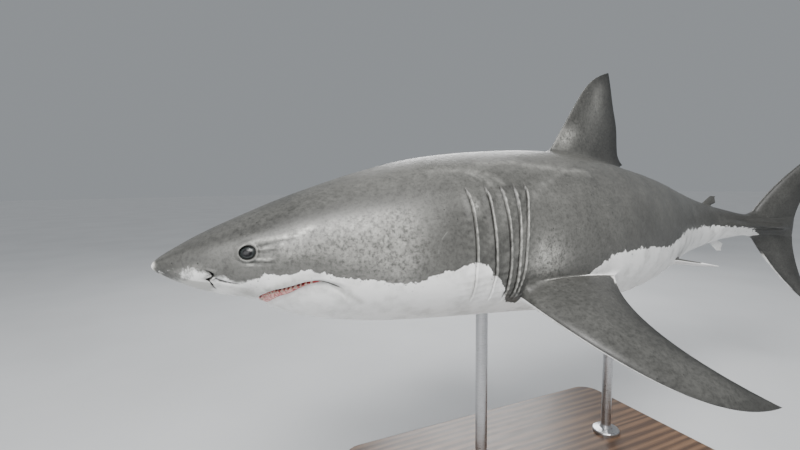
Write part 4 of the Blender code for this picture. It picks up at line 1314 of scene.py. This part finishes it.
    def fin(self, kind: Array, angle: Array, span: Array, chord: Array) -> dict[str, Array]:
        """Markings of the fins.

        Args:
            kind: Which fin each point belongs to.
            angle: Angles of the fin's foot, near a half turn on the belly.
            span: How far out.
            chord: Share of the chord, negative on the lower or right side.

        Returns:
            Arrays named border, tone and pale.
        """
        c = np.abs(chord)
        rear = ease(0.72, 1, c)
        dorsal, pectoral, pelvic, tail, small = (kind == k.value for k in (
            Kind.DORSAL, Kind.PECTORAL, Kind.PELVIC, Kind.TAIL, Kind.SMALL))
        below = np.cos(angle) < 0.0
        under = 3.2 * (ease(0.8, 0.9, span + 0.1 * rear) - 0.5) * 2
        border = np.where(pectoral & (chord < 0), np.minimum(under, 2.5), 2.5)
        border = np.where(pelvic, np.where(chord > 0, 0.9 - 3.4 * ease(0.45, 0.95, span) - 2 * rear, -2.5), border)
        border = np.where(small & below, -2.5, border)
        middle = bump(0.36, 0.26, c) * fade(0.7, 1, span)
        light = 0.46 * bump(0.2, 0.13, span) * bump(0.1, 0.11, c)
        light = light + 0.18 * bump(0.62, 0.22, span) * bump(0.46, 0.18, c)
        tone = np.where(dorsal, 0.19 + light + 0.08 * middle - 0.11 * rear - 0.1 * ease(0.8, 1, span), 0.28)
        tone = np.where(pectoral, 0.2 - 0.1 * rear - 0.07 * ease(0.7, 1, span) + 0.05 * middle, tone)
        tone = np.where(tail, 0.15 + 0.05 * middle, tone)
        pale = np.where(pectoral, 1.3 * ease(0.955, 0.985, c) * fade(0.11, 0.16, span), 0.0)
        pale = np.where(tail & below, 1.3 * fade(0.012, 0.03, c) * window(0.22, 0.3, 0.7, 0.8, span), pale)
        return {"border": border, "tone": tone, "pale": pale}

    def paint(self, mesh: Mesh, marks: Array) -> None:
        """Write the markings on the mesh as point attributes.

        Across a fin's root the body's markings give way to the fin's. A white line and a shadow run along
        the pectoral fin's upper root; the flesh mark is red inside the mouth.

        Args:
            mesh: The skin's mesh.
            marks: The marks of its points.
        """
        s, angle, kind, span, chord, inner = marks.T
        weight = unit(-inner)
        body, fin = self.body(s, angle), self.fin(kind, angle, span, chord)
        share = ease(0.15, 0.85, weight)
        values = {name: body[name] + (fin[name] - body[name]) * share for name in fin}
        root = (kind == Kind.PECTORAL.value) & (chord > 0)
        line = bump(0.15, 0.11, weight) * window(27.6, 29, 38.5, 40, s) * (weight > 0) * root
        values["border"] = values["border"] - 3.4 * line
        values["pale"] = values["pale"] + 0.6 * line * window(27.6, 28.6, 33, 35.5, s)
        shadow = 0.5 * bump(0.46, 0.13, weight) * window(28, 29, 33.5, 36, s) * root
        # inside the openings of the eyes and nostrils the cleft mark is painted shade, and the pectoral root's painted
        # shadow joins it
        opening = np.where((inner > 0) & (inner <= 2.0), inner, 0)
        values["cleft"] = np.maximum(np.maximum(body["cleft"] * (1 - weight), opening), shadow)
        values["flesh"] = unit(inner - 2)
        values |= {name: body[name] * (1 - weight) for name in ("snout", "shade_and_dusting")}
        for name, value in values.items():
            write_values(mesh, name, value)


# ---- shader helpers ----
class Graph:
    """Adds nodes to one node tree in few words; every input takes a plain value or a socket."""

    def __init__(self, tree: bpy.types.NodeTree) -> None:
        """Keep the tree."""
        self.tree = tree

    def fill(self, node: bpy.types.Node, inputs: Inputs) -> bpy.types.Node:
        """Set or link inputs of a node.

        Args:
            node: The node.
            inputs: Values, colours or sockets, by the input's name or by its number written as text.

        Returns:
            The node.
        """
        for name, value in inputs.items():
            socket = node.inputs[int(name)] if name.isdigit() else node.inputs[name]
            if isinstance(value, Socket):
                self.tree.links.new(value, socket)
            else:
                socket.default_value = (*value, 1) if socket.type == "RGBA" else value
        return node

    def node(self, kind: str, inputs: Inputs | None = None, **settings: object) -> bpy.types.Node:
        """Add a node.

        Args:
            kind: Its Blender type.
            inputs: Its inputs, as fill takes them.
            settings: Properties of the node.

        Returns:
            The node.
        """
        made = self.tree.nodes.new(kind)
        for name, value in settings.items():
            setattr(made, name, value)
        return self.fill(made, inputs or {})

    def math(self, operation: str, first: object, second: object) -> Socket:
        """The result of a Math node with two inputs."""
        return self.node("ShaderNodeMath", {"0": first, "1": second}, operation=operation).outputs[0]

    def plus(self, first: object, second: object) -> Socket:
        """The sum of two values."""
        return self.math("ADD", first, second)

    def minus(self, first: object, second: object) -> Socket:
        """The first value less the second."""
        return self.math("SUBTRACT", first, second)

    def times(self, first: object, second: object) -> Socket:
        """The product of two values."""
        return self.math("MULTIPLY", first, second)

    def blend(self, value: object, share: object, base: object) -> Socket:
        """A share of a value on top of a base: value * share + base."""
        inputs = {"0": value, "1": share, "2": base}
        return self.node("ShaderNodeMath", inputs, operation="MULTIPLY_ADD").outputs[0]

    def ramp(self, value: object, low: float, high: float, to_low: float = 0.0, to_high: float = 1.0) -> Socket:
        """A value carried smoothly from one range to another and held at its ends."""
        inputs = {"Value": value, "From Min": low, "From Max": high, "To Min": to_low, "To Max": to_high}
        return self.node("ShaderNodeMapRange", inputs, interpolation_type="SMOOTHSTEP").outputs["Result"]

    def noise(self, place: Socket, scale: float, detail: float = 3.0, roughness: float = 0.55,
              distortion: float = 0.0) -> Socket:
        """Fractal noise around one half."""
        inputs = {"Vector": place, "Scale": scale, "Detail": detail, "Roughness": roughness, "Distortion": distortion}
        return self.node("ShaderNodeTexNoise", inputs).outputs["Fac"]

    def cells(self, place: Socket, scale: float, feature: str = "F1") -> Socket:
        """Distance to the nearest of scattered points, or to the edges between them."""
        inputs = {"Vector": place, "Scale": scale}
        return self.node("ShaderNodeTexVoronoi", inputs, feature=feature).outputs["Distance"]

    def stretch(self, place: Socket, scale: Triple, turn: Triple = (0.0, 0.0, 0.0)) -> Socket:
        """Coordinates scaled and turned."""
        return self.node("ShaderNodeMapping", {"Vector": place, "Scale": scale, "Rotation": turn}).outputs[0]

    def enlarge(self, place: Socket, scale: Socket) -> Socket:
        """Coordinates scaled by a socket's value."""
        return self.node("ShaderNodeVectorMath", {"0": place, "Scale": scale}, operation="SCALE").outputs[0]

    def mix(self, factor: object, first: object, second: object) -> Socket:
        """Two colours mixed."""
        inputs = {"0": factor, "6": first, "7": second}
        return self.node("ShaderNodeMix", inputs, data_type="RGBA").outputs[2]

    def bumps(self, height: Socket, strength: float, distance: float) -> Socket:
        """A normal that a height in metres bends."""
        inputs = {"Strength": strength, "Distance": distance, "Height": height}
        return self.node("ShaderNodeBump", inputs).outputs[0]

    def attribute(self, name: str) -> Socket:
        """A point attribute as a value."""
        return self.node("ShaderNodeAttribute", attribute_name=name, attribute_type="GEOMETRY").outputs["Fac"]

    def place(self) -> Socket:
        """Object coordinates."""
        return self.node("ShaderNodeTexCoord").outputs["Object"]

    def group(self, name: str, values: dict[str, float]) -> Outputs:
        """The outputs of a shared group at the object's coordinates, with its own values."""
        inputs = {"Place": self.place(), **values}
        return self.node("ShaderNodeGroup", inputs, node_tree=bpy.data.node_groups[name]).outputs

    def grain(self, scale: float, fineness: float) -> Outputs:
        """The fine grain's outputs, Value and Height."""
        return self.group("fine_grain", {"Scale": scale, "Fineness": fineness})


def new_group(name: str, inputs: dict[str, float], outputs: tuple[str, ...]) -> tuple[Graph, dict[str, Socket]]:
    """A shader node group with a Place vector, named value inputs and named value outputs.

    Args:
        name: Name of the group.
        inputs: Value inputs with their usual values.
        outputs: Value outputs.

    Returns:
        The group's graph and its inputs by name.
    """
    tree = bpy.data.node_groups.new(name, "ShaderNodeTree")
    tree.interface.new_socket("Place", in_out="INPUT", socket_type="NodeSocketVector")
    for label, value in inputs.items():
        tree.interface.new_socket(label, in_out="INPUT", socket_type="NodeSocketFloat").default_value = value
    for label in outputs:
        tree.interface.new_socket(label, in_out="OUTPUT", socket_type="NodeSocketFloat")
    given = tree.nodes.new("NodeGroupInput").outputs
    return Graph(tree), {socket.name: socket for socket in given if socket.name}


def grain_group() -> None:
    """Fine grain: Value is cloudy noise around one half, Height is the same with a much finer layer on top."""
    graph, given = new_group("fine_grain", {"Scale": 60, "Fineness": 8}, ("Value", "Height"))
    scaled = graph.enlarge(given["Place"], given["Scale"])
    coarse = graph.noise(scaled, 1, 4, 0.62)
    fine = graph.noise(graph.enlarge(scaled, given["Fineness"]), 1, 2, 0.5)
    graph.node("NodeGroupOutput", {"Value": coarse, "Height": graph.blend(fine, 0.6, graph.times(coarse, 0.4))})


def wear_group() -> None:
    """Scars: scattered round pits, and long thin scratches that a cloudy mask lets through here and there."""
    graph, given = new_group("scars", {"Pit Size": 0.1, "Scratch Width": 0.012}, ("Pits", "Scratches"))
    place = given["Place"]
    few = graph.ramp(graph.noise(place, 9, 2), 0.5, 0.62)
    pits = graph.times(graph.math("LESS_THAN", graph.cells(place, 34), given["Pit Size"]), few)
    lines = []
    for turn, scale in (((0.3, 0.5, 0.2), (4, 26, 12)), ((1, 2.2, 0.9), (22, 5, 9))):
        edge = graph.cells(graph.stretch(place, scale, turn), 0.8, "DISTANCE_TO_EDGE")
        patch = graph.ramp(graph.noise(place, 11 + scale[0] * 0.1, 3), 0.6, 0.68)
        lines.append(graph.times(graph.math("LESS_THAN", edge, given["Scratch Width"]), patch))
    graph.node("NodeGroupOutput", {"Pits": pits, "Scratches": graph.math("MAXIMUM", *lines)})


# ---- finishes ----
@dataclass(frozen=True)
class Finish:
    """A material with one Principled BSDF whose inputs each kind of finish works out."""

    name: str = "finish"

    def shade(self, graph: Graph) -> Inputs:
        """Inputs of the Principled BSDF: plain values, colours or sockets."""
        raise NotImplementedError

    def build(self) -> Material:
        """Make the material.

        Returns:
            The finished material.
        """
        made = bpy.data.materials.new(self.name)
        made.use_nodes = True
        graph = Graph(made.node_tree)
        graph.fill(made.node_tree.nodes["Principled BSDF"], self.shade(graph))
        return made


@dataclass(frozen=True)
class SkinFinish(Finish):
    """Countershaded hide: mottled grey above, white below, with a ragged border and red flesh in the mouth."""

    name: str = "shark_hide"
    dark: Triple = (0.018, 0.018, 0.0165)
    light: Triple = (0.6, 0.595, 0.555)
    white: Triple = (0.92, 0.915, 0.9)
    # grey for the belly's stains and for its painted shade
    stain_and_shade_grey: Triple = (0.5, 0.495, 0.47)
    pore: Triple = (0.06, 0.06, 0.058)
    # near black for painted shade in clefts, creases and openings
    cleft: Triple = (0.016, 0.015, 0.014)
    flesh: Triple = (0.44, 0.04, 0.04)
    # darker red deep in the mouth's pocket: painted shade
    shaded_throat: Triple = (0.27, 0.01, 0.014)
    roughness: float = 0.46

    def grey(self, graph: Graph, mottle: Socket, grain: Socket, wear: Outputs) -> Socket:
        """The grey of the back: the tone, clouded, mottled and speckled more where it is light.

        Args:
            graph: Graph of the material.
            mottle: The mottling noise.
            grain: The fine grain's value.
            wear: The scars.

        Returns:
            The colour.
        """
        place, tone, pale = graph.place(), graph.attribute("tone"), graph.attribute("pale")
        speck = graph.ramp(graph.noise(place, 110, 4, 0.7), 0.44, 0.66)
        shade = graph.blend(graph.minus(graph.noise(place, 7, 3, 0.6), 0.4), 0.17, tone)
        shade = graph.blend(graph.minus(mottle, 0.5), graph.ramp(tone, 0.28, 0.62, 0.06, 0.85), shade)
        shade = graph.blend(graph.minus(grain, 0.5), 0.17, shade)
        shade = graph.minus(shade, graph.times(speck, graph.ramp(tone, 0.32, 0.65, 0.07, 0.3)))
        shade = graph.blend(wear["Pits"], -0.26, shade)
        shade = graph.blend(wear["Scratches"], 0.09, shade)
        shade = graph.blend(pale, graph.ramp(mottle, 0.33, 0.6, 0.35, 1.25), shade)
        return graph.mix(graph.math("POWER", graph.math("MAXIMUM", shade, 0), 1.75), self.dark, self.light)

    def belly(self, graph: Graph) -> Socket:
        """The white of the belly, with soft grey stains, and the grey of painted shade and dusting under the snout,
        over the lip and along the jaw.
        """
        blot = graph.noise(graph.place(), 13, 4, 0.6)
        shade_and_dusting = graph.times(graph.attribute("shade_and_dusting"), graph.ramp(blot, 0.25, 0.6, 0.55, 1.3))
        # cloudy blots are stains, and the mark read above adds painted shade with some grey dusting
        stain_and_shade = graph.blend(shade_and_dusting, 1.2, graph.ramp(blot, 0.45, 0.78, 0, 0.7))
        return graph.mix(graph.math("MINIMUM", stain_and_shade, 1.6), self.white, self.stain_and_shade_grey)

    def above(self, graph: Graph, mottle: Socket) -> Socket:
        """Where the skin is grey: two noises push the border about, and islands of grey lie just below it.

        On the snout the border is soft, and the mottling breaks it up; the tip of the snout is white.

        Args:
            graph: Graph of the material.
            mottle: The mottling noise.

        Returns:
            The mask.
        """
        place, snout = graph.place(), graph.attribute("snout")
        push = graph.times(graph.minus(graph.noise(place, 26, 4, 0.62), 0.5), graph.blend(snout, -0.68, 1.15))
        fine = graph.times(graph.minus(graph.noise(place, 150, 2, 0.5), 0.5), 0.3)
        line = graph.plus(graph.attribute("border"), graph.plus(push, fine))
        line = graph.blend(graph.times(graph.minus(mottle, 0.5), snout), 1.6, line)
        mask = graph.ramp(graph.math("DIVIDE", line, graph.blend(snout, 0.22, 0.035)), -1, 1)
        islands = graph.times(graph.ramp(graph.noise(place, 90, 2), 0.66, 0.7), graph.ramp(line, -0.9, -0.2))
        mask = graph.math("MAXIMUM", mask, graph.times(islands, 0.7))
        return graph.times(mask, graph.minus(1, graph.ramp(graph.attribute("pale"), 0.9, 1.15)))

    def shade(self, graph: Graph) -> Inputs:
        """Grey over white, then the pores of the snout, the painted shade of the clefts and the flesh inside the
        mouth, darker deeper in as painted shade.
        """
        place = graph.place()
        grain = graph.grain(58, 9)
        wear = graph.group("scars", {"Pit Size": 0.085, "Scratch Width": 0.006})
        mottle = graph.noise(place, 44, 5, 0.66, 0.2)
        snout, inner = graph.attribute("snout"), graph.attribute("flesh")
        grey = self.grey(graph, mottle, grain["Value"], wear)
        colour = graph.mix(self.above(graph, mottle), self.belly(graph), grey)
        pores = graph.math("LESS_THAN", graph.cells(place, 210), 0.16)
        pores = graph.times(pores, graph.times(snout, graph.ramp(mottle, 0.42, 0.58)))
        colour = graph.mix(graph.times(pores, 0.55), colour, self.pore)
        # near-black painted shade in the gill slits, creases and openings, and under the pectoral root
        ragged = graph.times(graph.attribute("cleft"), graph.ramp(mottle, 0.3, 0.62, 0.55, 1.35))
        colour = graph.mix(graph.ramp(ragged, 0.12, 0.75, 0, 0.93), colour, self.cleft)
        # the red darkens deeper in the pocket as painted shade
        meat = graph.mix(graph.ramp(inner, 0.45, 1), self.flesh, self.shaded_throat)
        rough = graph.ramp(grain["Value"], 0.3, 0.7, self.roughness - 0.07, self.roughness + 0.1)
        height = graph.blend(wear["Pits"], -0.7, grain["Height"])
        height = graph.blend(pores, -0.6, graph.blend(wear["Scratches"], -0.4, height))
        return {"Base Color": graph.mix(graph.ramp(inner, 0.04, 0.22), colour, meat),
                "Roughness": graph.blend(graph.ramp(inner, 0.04, 0.3), -0.22, rough),
                "Normal": graph.bumps(height, 0.4, 0.0016),
                "Specular IOR Level": 0.45, "Coat Weight": 0.1, "Coat Roughness": 0.3}


@dataclass(frozen=True)
class EyeFinish(Finish):
    """A nearly black glassy eye: a dark slate iris round a black pupil, under a clear coat."""

    name: str = "shark_eye"
    iris: Triple = (0.016, 0.019, 0.019)
    rays: Triple = (0.03, 0.035, 0.035)
    pupil: Triple = (0.004, 0.004, 0.005)
    rim: Triple = (0.012, 0.013, 0.014)

    def shade(self, graph: Graph) -> Inputs:
        """Rings of colour by the share of the way from the middle of the eye to its rim."""
        grain = graph.grain(160, 4)
        away = graph.attribute("away")
        rays = graph.mix(graph.ramp(grain["Value"], 0.35, 0.68), self.iris, self.rays)
        colour = graph.mix(graph.ramp(away, 0.5, 0.58), self.pupil, rays)
        return {"Base Color": graph.mix(graph.ramp(away, 0.86, 0.97), colour, self.rim), "Roughness": 0.3,
                "Specular IOR Level": 0.3, "Coat Weight": 0.3, "Coat Roughness": 0.12}


@dataclass(frozen=True)
class GumFinish(Finish):
    """Wet gum, pink with red blotches."""

    name: str = "shark_gum"
    pink: Triple = (0.86, 0.52, 0.47)
    red: Triple = (0.52, 0.055, 0.06)

    def shade(self, graph: Graph) -> Inputs:
        """The grain mixes the two colours and pits the surface."""
        grain = graph.grain(150, 4)
        return {"Base Color": graph.mix(graph.ramp(grain["Value"], 0.38, 0.62), self.red, self.pink),
                "Normal": graph.bumps(grain["Height"], 0.5, 0.001),
                "Roughness": 0.28, "Coat Weight": 0.4, "Coat Roughness": 0.15}


@dataclass(frozen=True)
class ToothFinish(Finish):
    """Ivory teeth, clouded with a warmer tint."""

    name: str = "shark_teeth"
    ivory: Triple = (0.86, 0.82, 0.72)
    warm: Triple = (0.72, 0.62, 0.5)

    def shade(self, graph: Graph) -> Inputs:
        """The grain clouds the ivory."""
        grain = graph.grain(220, 3)
        return {"Base Color": graph.mix(graph.ramp(grain["Value"], 0.35, 0.7), self.warm, self.ivory),
                "Roughness": 0.25, "Coat Weight": 0.3}


@dataclass(frozen=True)
class WoodFinish(Finish):
    """Dark oiled wood: rings cut along their length, with fine pores; the grain runs along the base."""

    name: str = "stand_wood"
    dark: Triple = (0.06, 0.032, 0.018)
    light: Triple = (0.19, 0.108, 0.06)

    def shade(self, graph: Graph) -> Inputs:
        """Wavy rings and a wandering noise give the figure, and long fibres the fine grain."""
        place = graph.place()
        grain = graph.grain(30, 6)
        long = graph.stretch(place, (0.55, 7, 7), (0, 0, 0.015))
        wander = graph.noise(long, 1.1, 4, 0.55, 0.6)
        rings = graph.node("ShaderNodeTexWave", {"Vector": long, "Scale": 1.1, "Distortion": 7, "Detail": 3,
                                                 "Detail Scale": 1.2}, bands_direction="Y").outputs["Fac"]
        fibres = graph.noise(graph.stretch(place, (6, 420, 420)), 1, 3, 0.6)
        share = graph.blend(rings, 0.45, graph.times(wander, 0.45))
        share = graph.blend(graph.minus(fibres, 0.5), 0.5, share)
        height = graph.blend(fibres, 0.7, graph.times(grain["Height"], 0.2))
        return {"Base Color": graph.mix(graph.ramp(share, 0.15, 0.85), self.dark, self.light),
                "Roughness": graph.ramp(fibres, 0.35, 0.65, 0.5, 0.34),
                "Normal": graph.bumps(height, 0.25, 0.0006), "Coat Weight": 0.25, "Coat Roughness": 0.25}


@dataclass(frozen=True)
class SteelFinish(Finish):
    """Brushed steel, the brushing running round the rod, clouded like finger marks."""

    name: str = "stand_steel"
    steel: Triple = (0.58, 0.58, 0.59)
    dull: Triple = (0.44, 0.44, 0.45)

    def shade(self, graph: Graph) -> Inputs:
        """Fine lines round the rod and a cloudy grain share the colour and the roughness."""
        place = graph.place()
        grain = graph.grain(18, 5)
        lines = graph.noise(graph.stretch(place, (25, 25, 1500)), 1, 2, 0.6)
        share = graph.blend(grain["Value"], 0.4, graph.times(lines, 0.6))
        return {"Base Color": graph.mix(graph.ramp(share, 0.3, 0.7), self.dull, self.steel),
                "Roughness": graph.ramp(share, 0.3, 0.7, 0.24, 0.42),
                "Normal": graph.bumps(lines, 0.12, 0.0003), "Metallic": 1}


@dataclass(frozen=True)
class FloorFinish(Finish):
    """Plain pale floor paint with a faint cloud."""

    name: str = "floor_paint"
    low: Triple = (0.5, 0.51, 0.52)
    high: Triple = (0.54, 0.55, 0.56)

    def shade(self, graph: Graph) -> Inputs:
        """A broad noise mixes two greys."""
        cloud = graph.noise(graph.place(), 0.8, 3)
        return {"Base Color": graph.mix(graph.ramp(cloud, 0.3, 0.7), self.low, self.high), "Roughness": 0.7}


# ---- eyes, gum and teeth ----
@dataclass
class EyeBalls:
    """Two glassy eyeballs, each a low dome seated in its socket."""

    size: tuple[float, float] = (0.57, 0.675)
    crown: float = -0.03
    rim: float = -0.26
    back: float = -0.62

    def mesh(self, side: int) -> Mesh:
        """One eyeball: a front dome of radius 1 - (1 - r²)^½ under the skin, and a shallow back.

        Args:
            side: 1 for the left, -1 for the right.

        Returns:
            The mesh, with the share of the way from the middle to the rim as the attribute away.
        """
        front = np.sin(np.linspace(0.06, 1, 16) * math.pi / 2)
        r = join([front, front[-2::-3]])[:, None]
        bearing = np.linspace(0, TURN, 64, endpoint=False)[None]
        dome = np.sqrt(unit(1 - (0.93 * front) ** 2))
        ahead = self.rim + (self.crown - self.rim) * (dome - dome[-1]) / (1 - dome[-1])
        behind = self.back + (self.rim - self.back) * (front[-2::-3] ** 3)
        grow = join([ahead, behind])[:, None] + 0 * bearing
        s = EYE[0] + self.size[0] * r * np.cos(bearing)
        a = EYE[1] * DEGREE + self.size[1] / EYE_ARC * r * np.sin(bearing)
        weave = Weave()
        number = weave.add(PLAN.skin(s, side * a, grow), s, a, span=r)
        weave.sheet(number, closed=True)
        place = np.array([EYE[0]]), np.array([side * EYE[1] * DEGREE])
        for row, level, away in ((0, self.crown, 0), (-1, self.back, 1)):
            weave.fan(number[row], weave.add(PLAN.skin(*place, level), *place, span=away))
        made, marks = weave.mesh("eyeball")
        write_values(made, "away", marks[:, 3])
        return made

    def build(self, finish: Material) -> None:
        """Make both and put them in the scene."""
        for side, name in ((1, "left"), (-1, "right")):
            place_piece(f"eyeball_{name}", self.mesh(side), finish, (f"eye_{name}",))


@dataclass
class LowerJaw:
    """The gum that stands on the lower lip and the row of teeth rooted in it."""

    lips: Array
    open_now: Array
    teeth: int = 16
    tooth: tuple[float, float] = (0.155, 0.46)  # half width and height of the largest
    shown: float = 0.12

    def lines(self, count: int) -> tuple[Array, Array, Array, Array]:
        """The lip's edge and the gum's crest, evenly divided from the left corner round to the right.

        Args:
            count: Number of points.

        Returns:
            The edge, the crest, the inward direction and the openness, 0 to 1.
        """
        keep = self.open_now > self.shown
        whole = [join([line[keep], line[keep][-2::-1] * MIRROR]) for line in self.lips]
        size = join([self.open_now[keep], self.open_now[keep][-2::-1]])
        run = join([[0], np.cumsum(np.linalg.norm(np.diff(whole[1], axis=0), axis=1))])
        want = np.linspace(0, run[-1], count)
        edge, crest = (np.stack([np.interp(want, run, line[:, i]) for i in range(3)], 1) for line in whole)
        inward = THROAT - crest
        inward[:, 2] = 0
        return edge, crest, inward / np.linalg.norm(inward, axis=1, keepdims=True), np.interp(want, run, size)

    def gum(self) -> Mesh:
        """A closed strip: out from under the lip's edge, over a beaded crest and down behind it.

        Each section is a list of shares from the edge to the crest, with steps inward and upward in percent;
        the crest rises and falls once for each tooth.
        """
        edge, crest, inward, _ = self.lines(30 * self.teeth)
        share = np.linspace(0, 1, len(edge))
        beads = 0.035 * np.cos(TURN * share * 2 * self.teeth)
        taper = np.minimum(ease(0, 0.05, share), ease(1, 0.95, share))[:, None]
        section = np.array([(-0.1, 0.16, -0.04), (-0.02, 0.06, -0.02), (0.15, -0.015, 0), (0.4, -0.04, 0),
                            (0.65, -0.04, 0), (0.85, -0.01, 0.01), (0.97, 0.05, 0.03), (1, 0.13, 0.03),
                            (0.95, 0.21, 0), (0.8, 0.27, -0.05), (0.5, 0.31, -0.1), (0.1, 0.31, -0.12)])
        along, inner, rise = (section[:, i][None, :, None] for i in range(3))
        swell = beads[:, None, None] * ease(0.3, 1, along)
        points = edge[:, None] + (crest - edge)[:, None] * along
        points = points + inward[:, None] * (inner - 0.5 * swell) * (0.25 + 0.75 * taper[:, None])
        return grid_mesh("gum", PLAN.bend(points + UP * (rise + swell)), (0, -1))

    def crowns(self) -> Mesh:
        """Slim teeth, each a lens-shaped section that narrows to a point, leaning out a little and curving in.

        The half width falls as 1 - t^1.5, the thickness is two fifths of it, and the foot flares into the gum.

        Returns:
            The mesh of the whole row.
        """
        total = 2 * self.teeth
        edge, crest, inward, size = (line[1::2] for line in self.lines(2 * total + 1))
        vary = 1 + 0.12 * np.sin(2.4 * np.arange(total)) + 0.06 * np.sin(5.1 * np.arange(total))
        scale = (0.5 + 0.5 * size) * vary
        along = np.cross(UP, inward)
        t = np.linspace(0, 0.97, 9)[:, None]
        turn = np.linspace(0, TURN, 16, endpoint=False)[None]
        half = self.tooth[0] * (1 - t**1.5) * (1 + 0.25 * (1 - ease(0, 0.2, t)))
        wide, thick = half * np.cos(turn), 0.42 * half * np.sin(turn)
        place = edge + (crest - edge) * 0.62
        rise = self.tooth[1] * t + 0 * turn
        lean = -0.05 + 0.03 * t + 0.16 * t**2 + thick
        scales = scale[:, None, None, None]
        points = place[:, None, None] + sum(axis[:, None, None] * value[None, :, :, None] * scales for axis, value in (
            (along, wide), (inward, lean), (UP + 0 * inward, rise)))
        tip = place + (inward * 0.14 + UP * self.tooth[1]) * scale[:, None]
        weave = Weave()
        parts = (weave.add(PLAN.bend(each)) for each in (points, tip, points[:, 0].mean(1)))
        for rings, end, foot in zip(*parts):
            weave.sheet(rings, closed=True)
            weave.fan(rings[-1], end)
            weave.fan(rings[0], foot)
        return weave.mesh("teeth")[0]

    def build(self, gum: Material, ivory: Material) -> None:
        """Make the gum and the teeth and put them in the scene."""
        place_piece("lower_gum", self.gum(), gum)
        place_piece("lower_teeth", self.crowns(), ivory)


# ---- stand and studio ----
@dataclass
class Stand:
    """The plain display stand: a wooden base and two steel rods, kept from the solids and finished."""

    wood: tuple[str, ...] = ("stand_base",)
    steel: tuple[str, ...] = ("stand_rod_front", "stand_rod_rear")

    def build(self) -> None:
        """Give each part its finish."""
        for names, finish in ((self.wood, WoodFinish().build()), (self.steel, SteelFinish().build())):
            for name in names:
                for slot in bpy.data.objects[name].material_slots:
                    slot.material = finish
                LOG.info("%s: %s", name, finish.name)


@dataclass
class Studio:
    """Camera, pale floor, soft light and pale surroundings."""

    place: Triple = (-1.2792, -1.3948, 1.2317)
    yaw: float = 24.46
    pitch: float = -5.24
    roll: float = -0.67
    lens: float = 20.0

    def camera(self) -> None:
        """The camera: turned right by its yaw and up by its pitch, then rolled about its own axis."""
        made = link_object("camera", bpy.data.cameras.new("camera"))
        yaw, pitch, roll = (v * DEGREE for v in (self.yaw, self.pitch, self.roll))
        turns = ((-yaw, "Z"), (math.pi / 2 + pitch, "X"), (roll, "Z"))
        first, second, third = (Matrix.Rotation(turn, 4, axis) for turn, axis in turns)
        made.matrix_world = Matrix.Translation(self.place) @ first @ second @ third
        made.data.lens, made.data.sensor_width, made.data.clip_start = self.lens, 36, 0.02
        bpy.context.scene.camera = made

    def floor(self) -> None:
        """A wide round floor in pale grey."""
        turn = np.linspace(0, TURN, 96, endpoint=False)
        rim = np.stack([np.cos(turn), np.sin(turn), 0 * turn], 1)
        radii = np.array([2, 8, 60])[:, None, None]
        mesh = grid_mesh("floor", radii * rim, (0,))
        mesh.materials.append(FloorFinish().build())
        link_object("floor", mesh)

    def light(self, name: str, place: Triple, aim: Triple, size: float, power: float,
              colour: Triple = (1.0, 1.0, 1.0)) -> None:
        """A square area light that looks at a point."""
        data = bpy.data.lights.new(name, "AREA")
        data.size, data.energy, data.color = size, power, colour
        made = link_object(name, data)
        made.location = place
        made.rotation_euler = (Vector(aim) - Vector(place)).to_track_quat("-Z", "Y").to_euler()

    def build(self) -> None:
        """Set up the camera, the floor, the lights and the world."""
        self.camera()
        self.floor()
        self.light("overhead", (-2, -2.4, 4.6), (-0.3, 0, 0.9), 2.6, 330, (1, 0.99, 0.97))
        sky = bpy.data.lights.new("sky", "SUN")
        sky.energy, sky.angle = 1.1, 35 * DEGREE
        link_object("sky", sky).rotation_euler = (0.45, -0.45, 0)
        self.light("front_side", (-4.2, -2.6, 2.2), (-0.6, 0, 0.9), 2.4, 55, (0.98, 0.99, 1))
        self.light("far_side", (2.5, 4.5, 3.4), (0, 0, 0.9), 3, 200)
        world = bpy.data.worlds.new("surroundings")
        bpy.context.scene.world = world
        world.use_nodes = True
        background = world.node_tree.nodes["Background"]
        background.inputs["Color"].default_value = (0.8, 0.85, 0.9, 1)
        background.inputs["Strength"].default_value = 0.36
        LOG.info("studio: camera, floor and four lights")


def all_fins() -> list[Fin]:
    """The fins of the fish, with the body's gap that each fills."""
    small = {"kind": Kind.SMALL, "rings": 14, "fillet": 0.12, "search": (-0.5, 0.6)}
    tail = {"kind": Kind.TAIL, "gap": (80.2, 88.6), "reach": 42, "open_rear": True, "search": (-0.15, 0.25)}
    fins: list[Fin] = [
        FirstDorsal(Kind.DORSAL, (35, 49.4), 0, 24, search=(-0.2, 0.2)),
        SmallFin(gap=(70.9, 74.6), middle=0, reach=34, **small),
        SmallFin(gap=(73, 77), middle=180, reach=30, origin=73.8, level=-2.45, height=1.5, side=-1.0, **small),
        TailLobe(middle=0, rings=48, **tail),
        TailLobe(middle=180, rings=40, start=(81.4, -1.0), length=16.3, first=-54 * DEGREE, last=-33 * DEGREE,
                 notch=0.0, side=-1.0, **tail)]
    for side in (1.0, -1.0):
        fins.append(Pectoral(Kind.PECTORAL, (27.1, 38.6), 180 - side * 62, 15, 56, search=(-0.15, 0.25), side=side))
        fins.append(Pelvic(Kind.PELVIC, (51.4, 58.5), 180 - side * 61, 13, 24, search=(-0.4, 0.5), side=side))
    return fins


def main() -> None:
    """Build the fish and its stand in order."""
    logging.basicConfig(level=logging.INFO, format="%(message)s")
    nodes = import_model()["nodes"]
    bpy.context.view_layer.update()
    grain_group()
    wear_group()
    skin = Skin(fins=all_fins())
    mesh, marks = skin.build()
    Markings().paint(mesh, marks)
    flesh = tuple(name for name in nodes if not name.startswith(("stand_", "eye_")))
    place_piece("shark_skin", mesh, SkinFinish().build(), flesh)
    EyeBalls().build(EyeFinish().build())
    LowerJaw(skin.lips, skin.open_now).build(GumFinish().build(), ToothFinish().build())
    Stand().build()
    Studio().build()


if __name__ == "__main__":
    main()
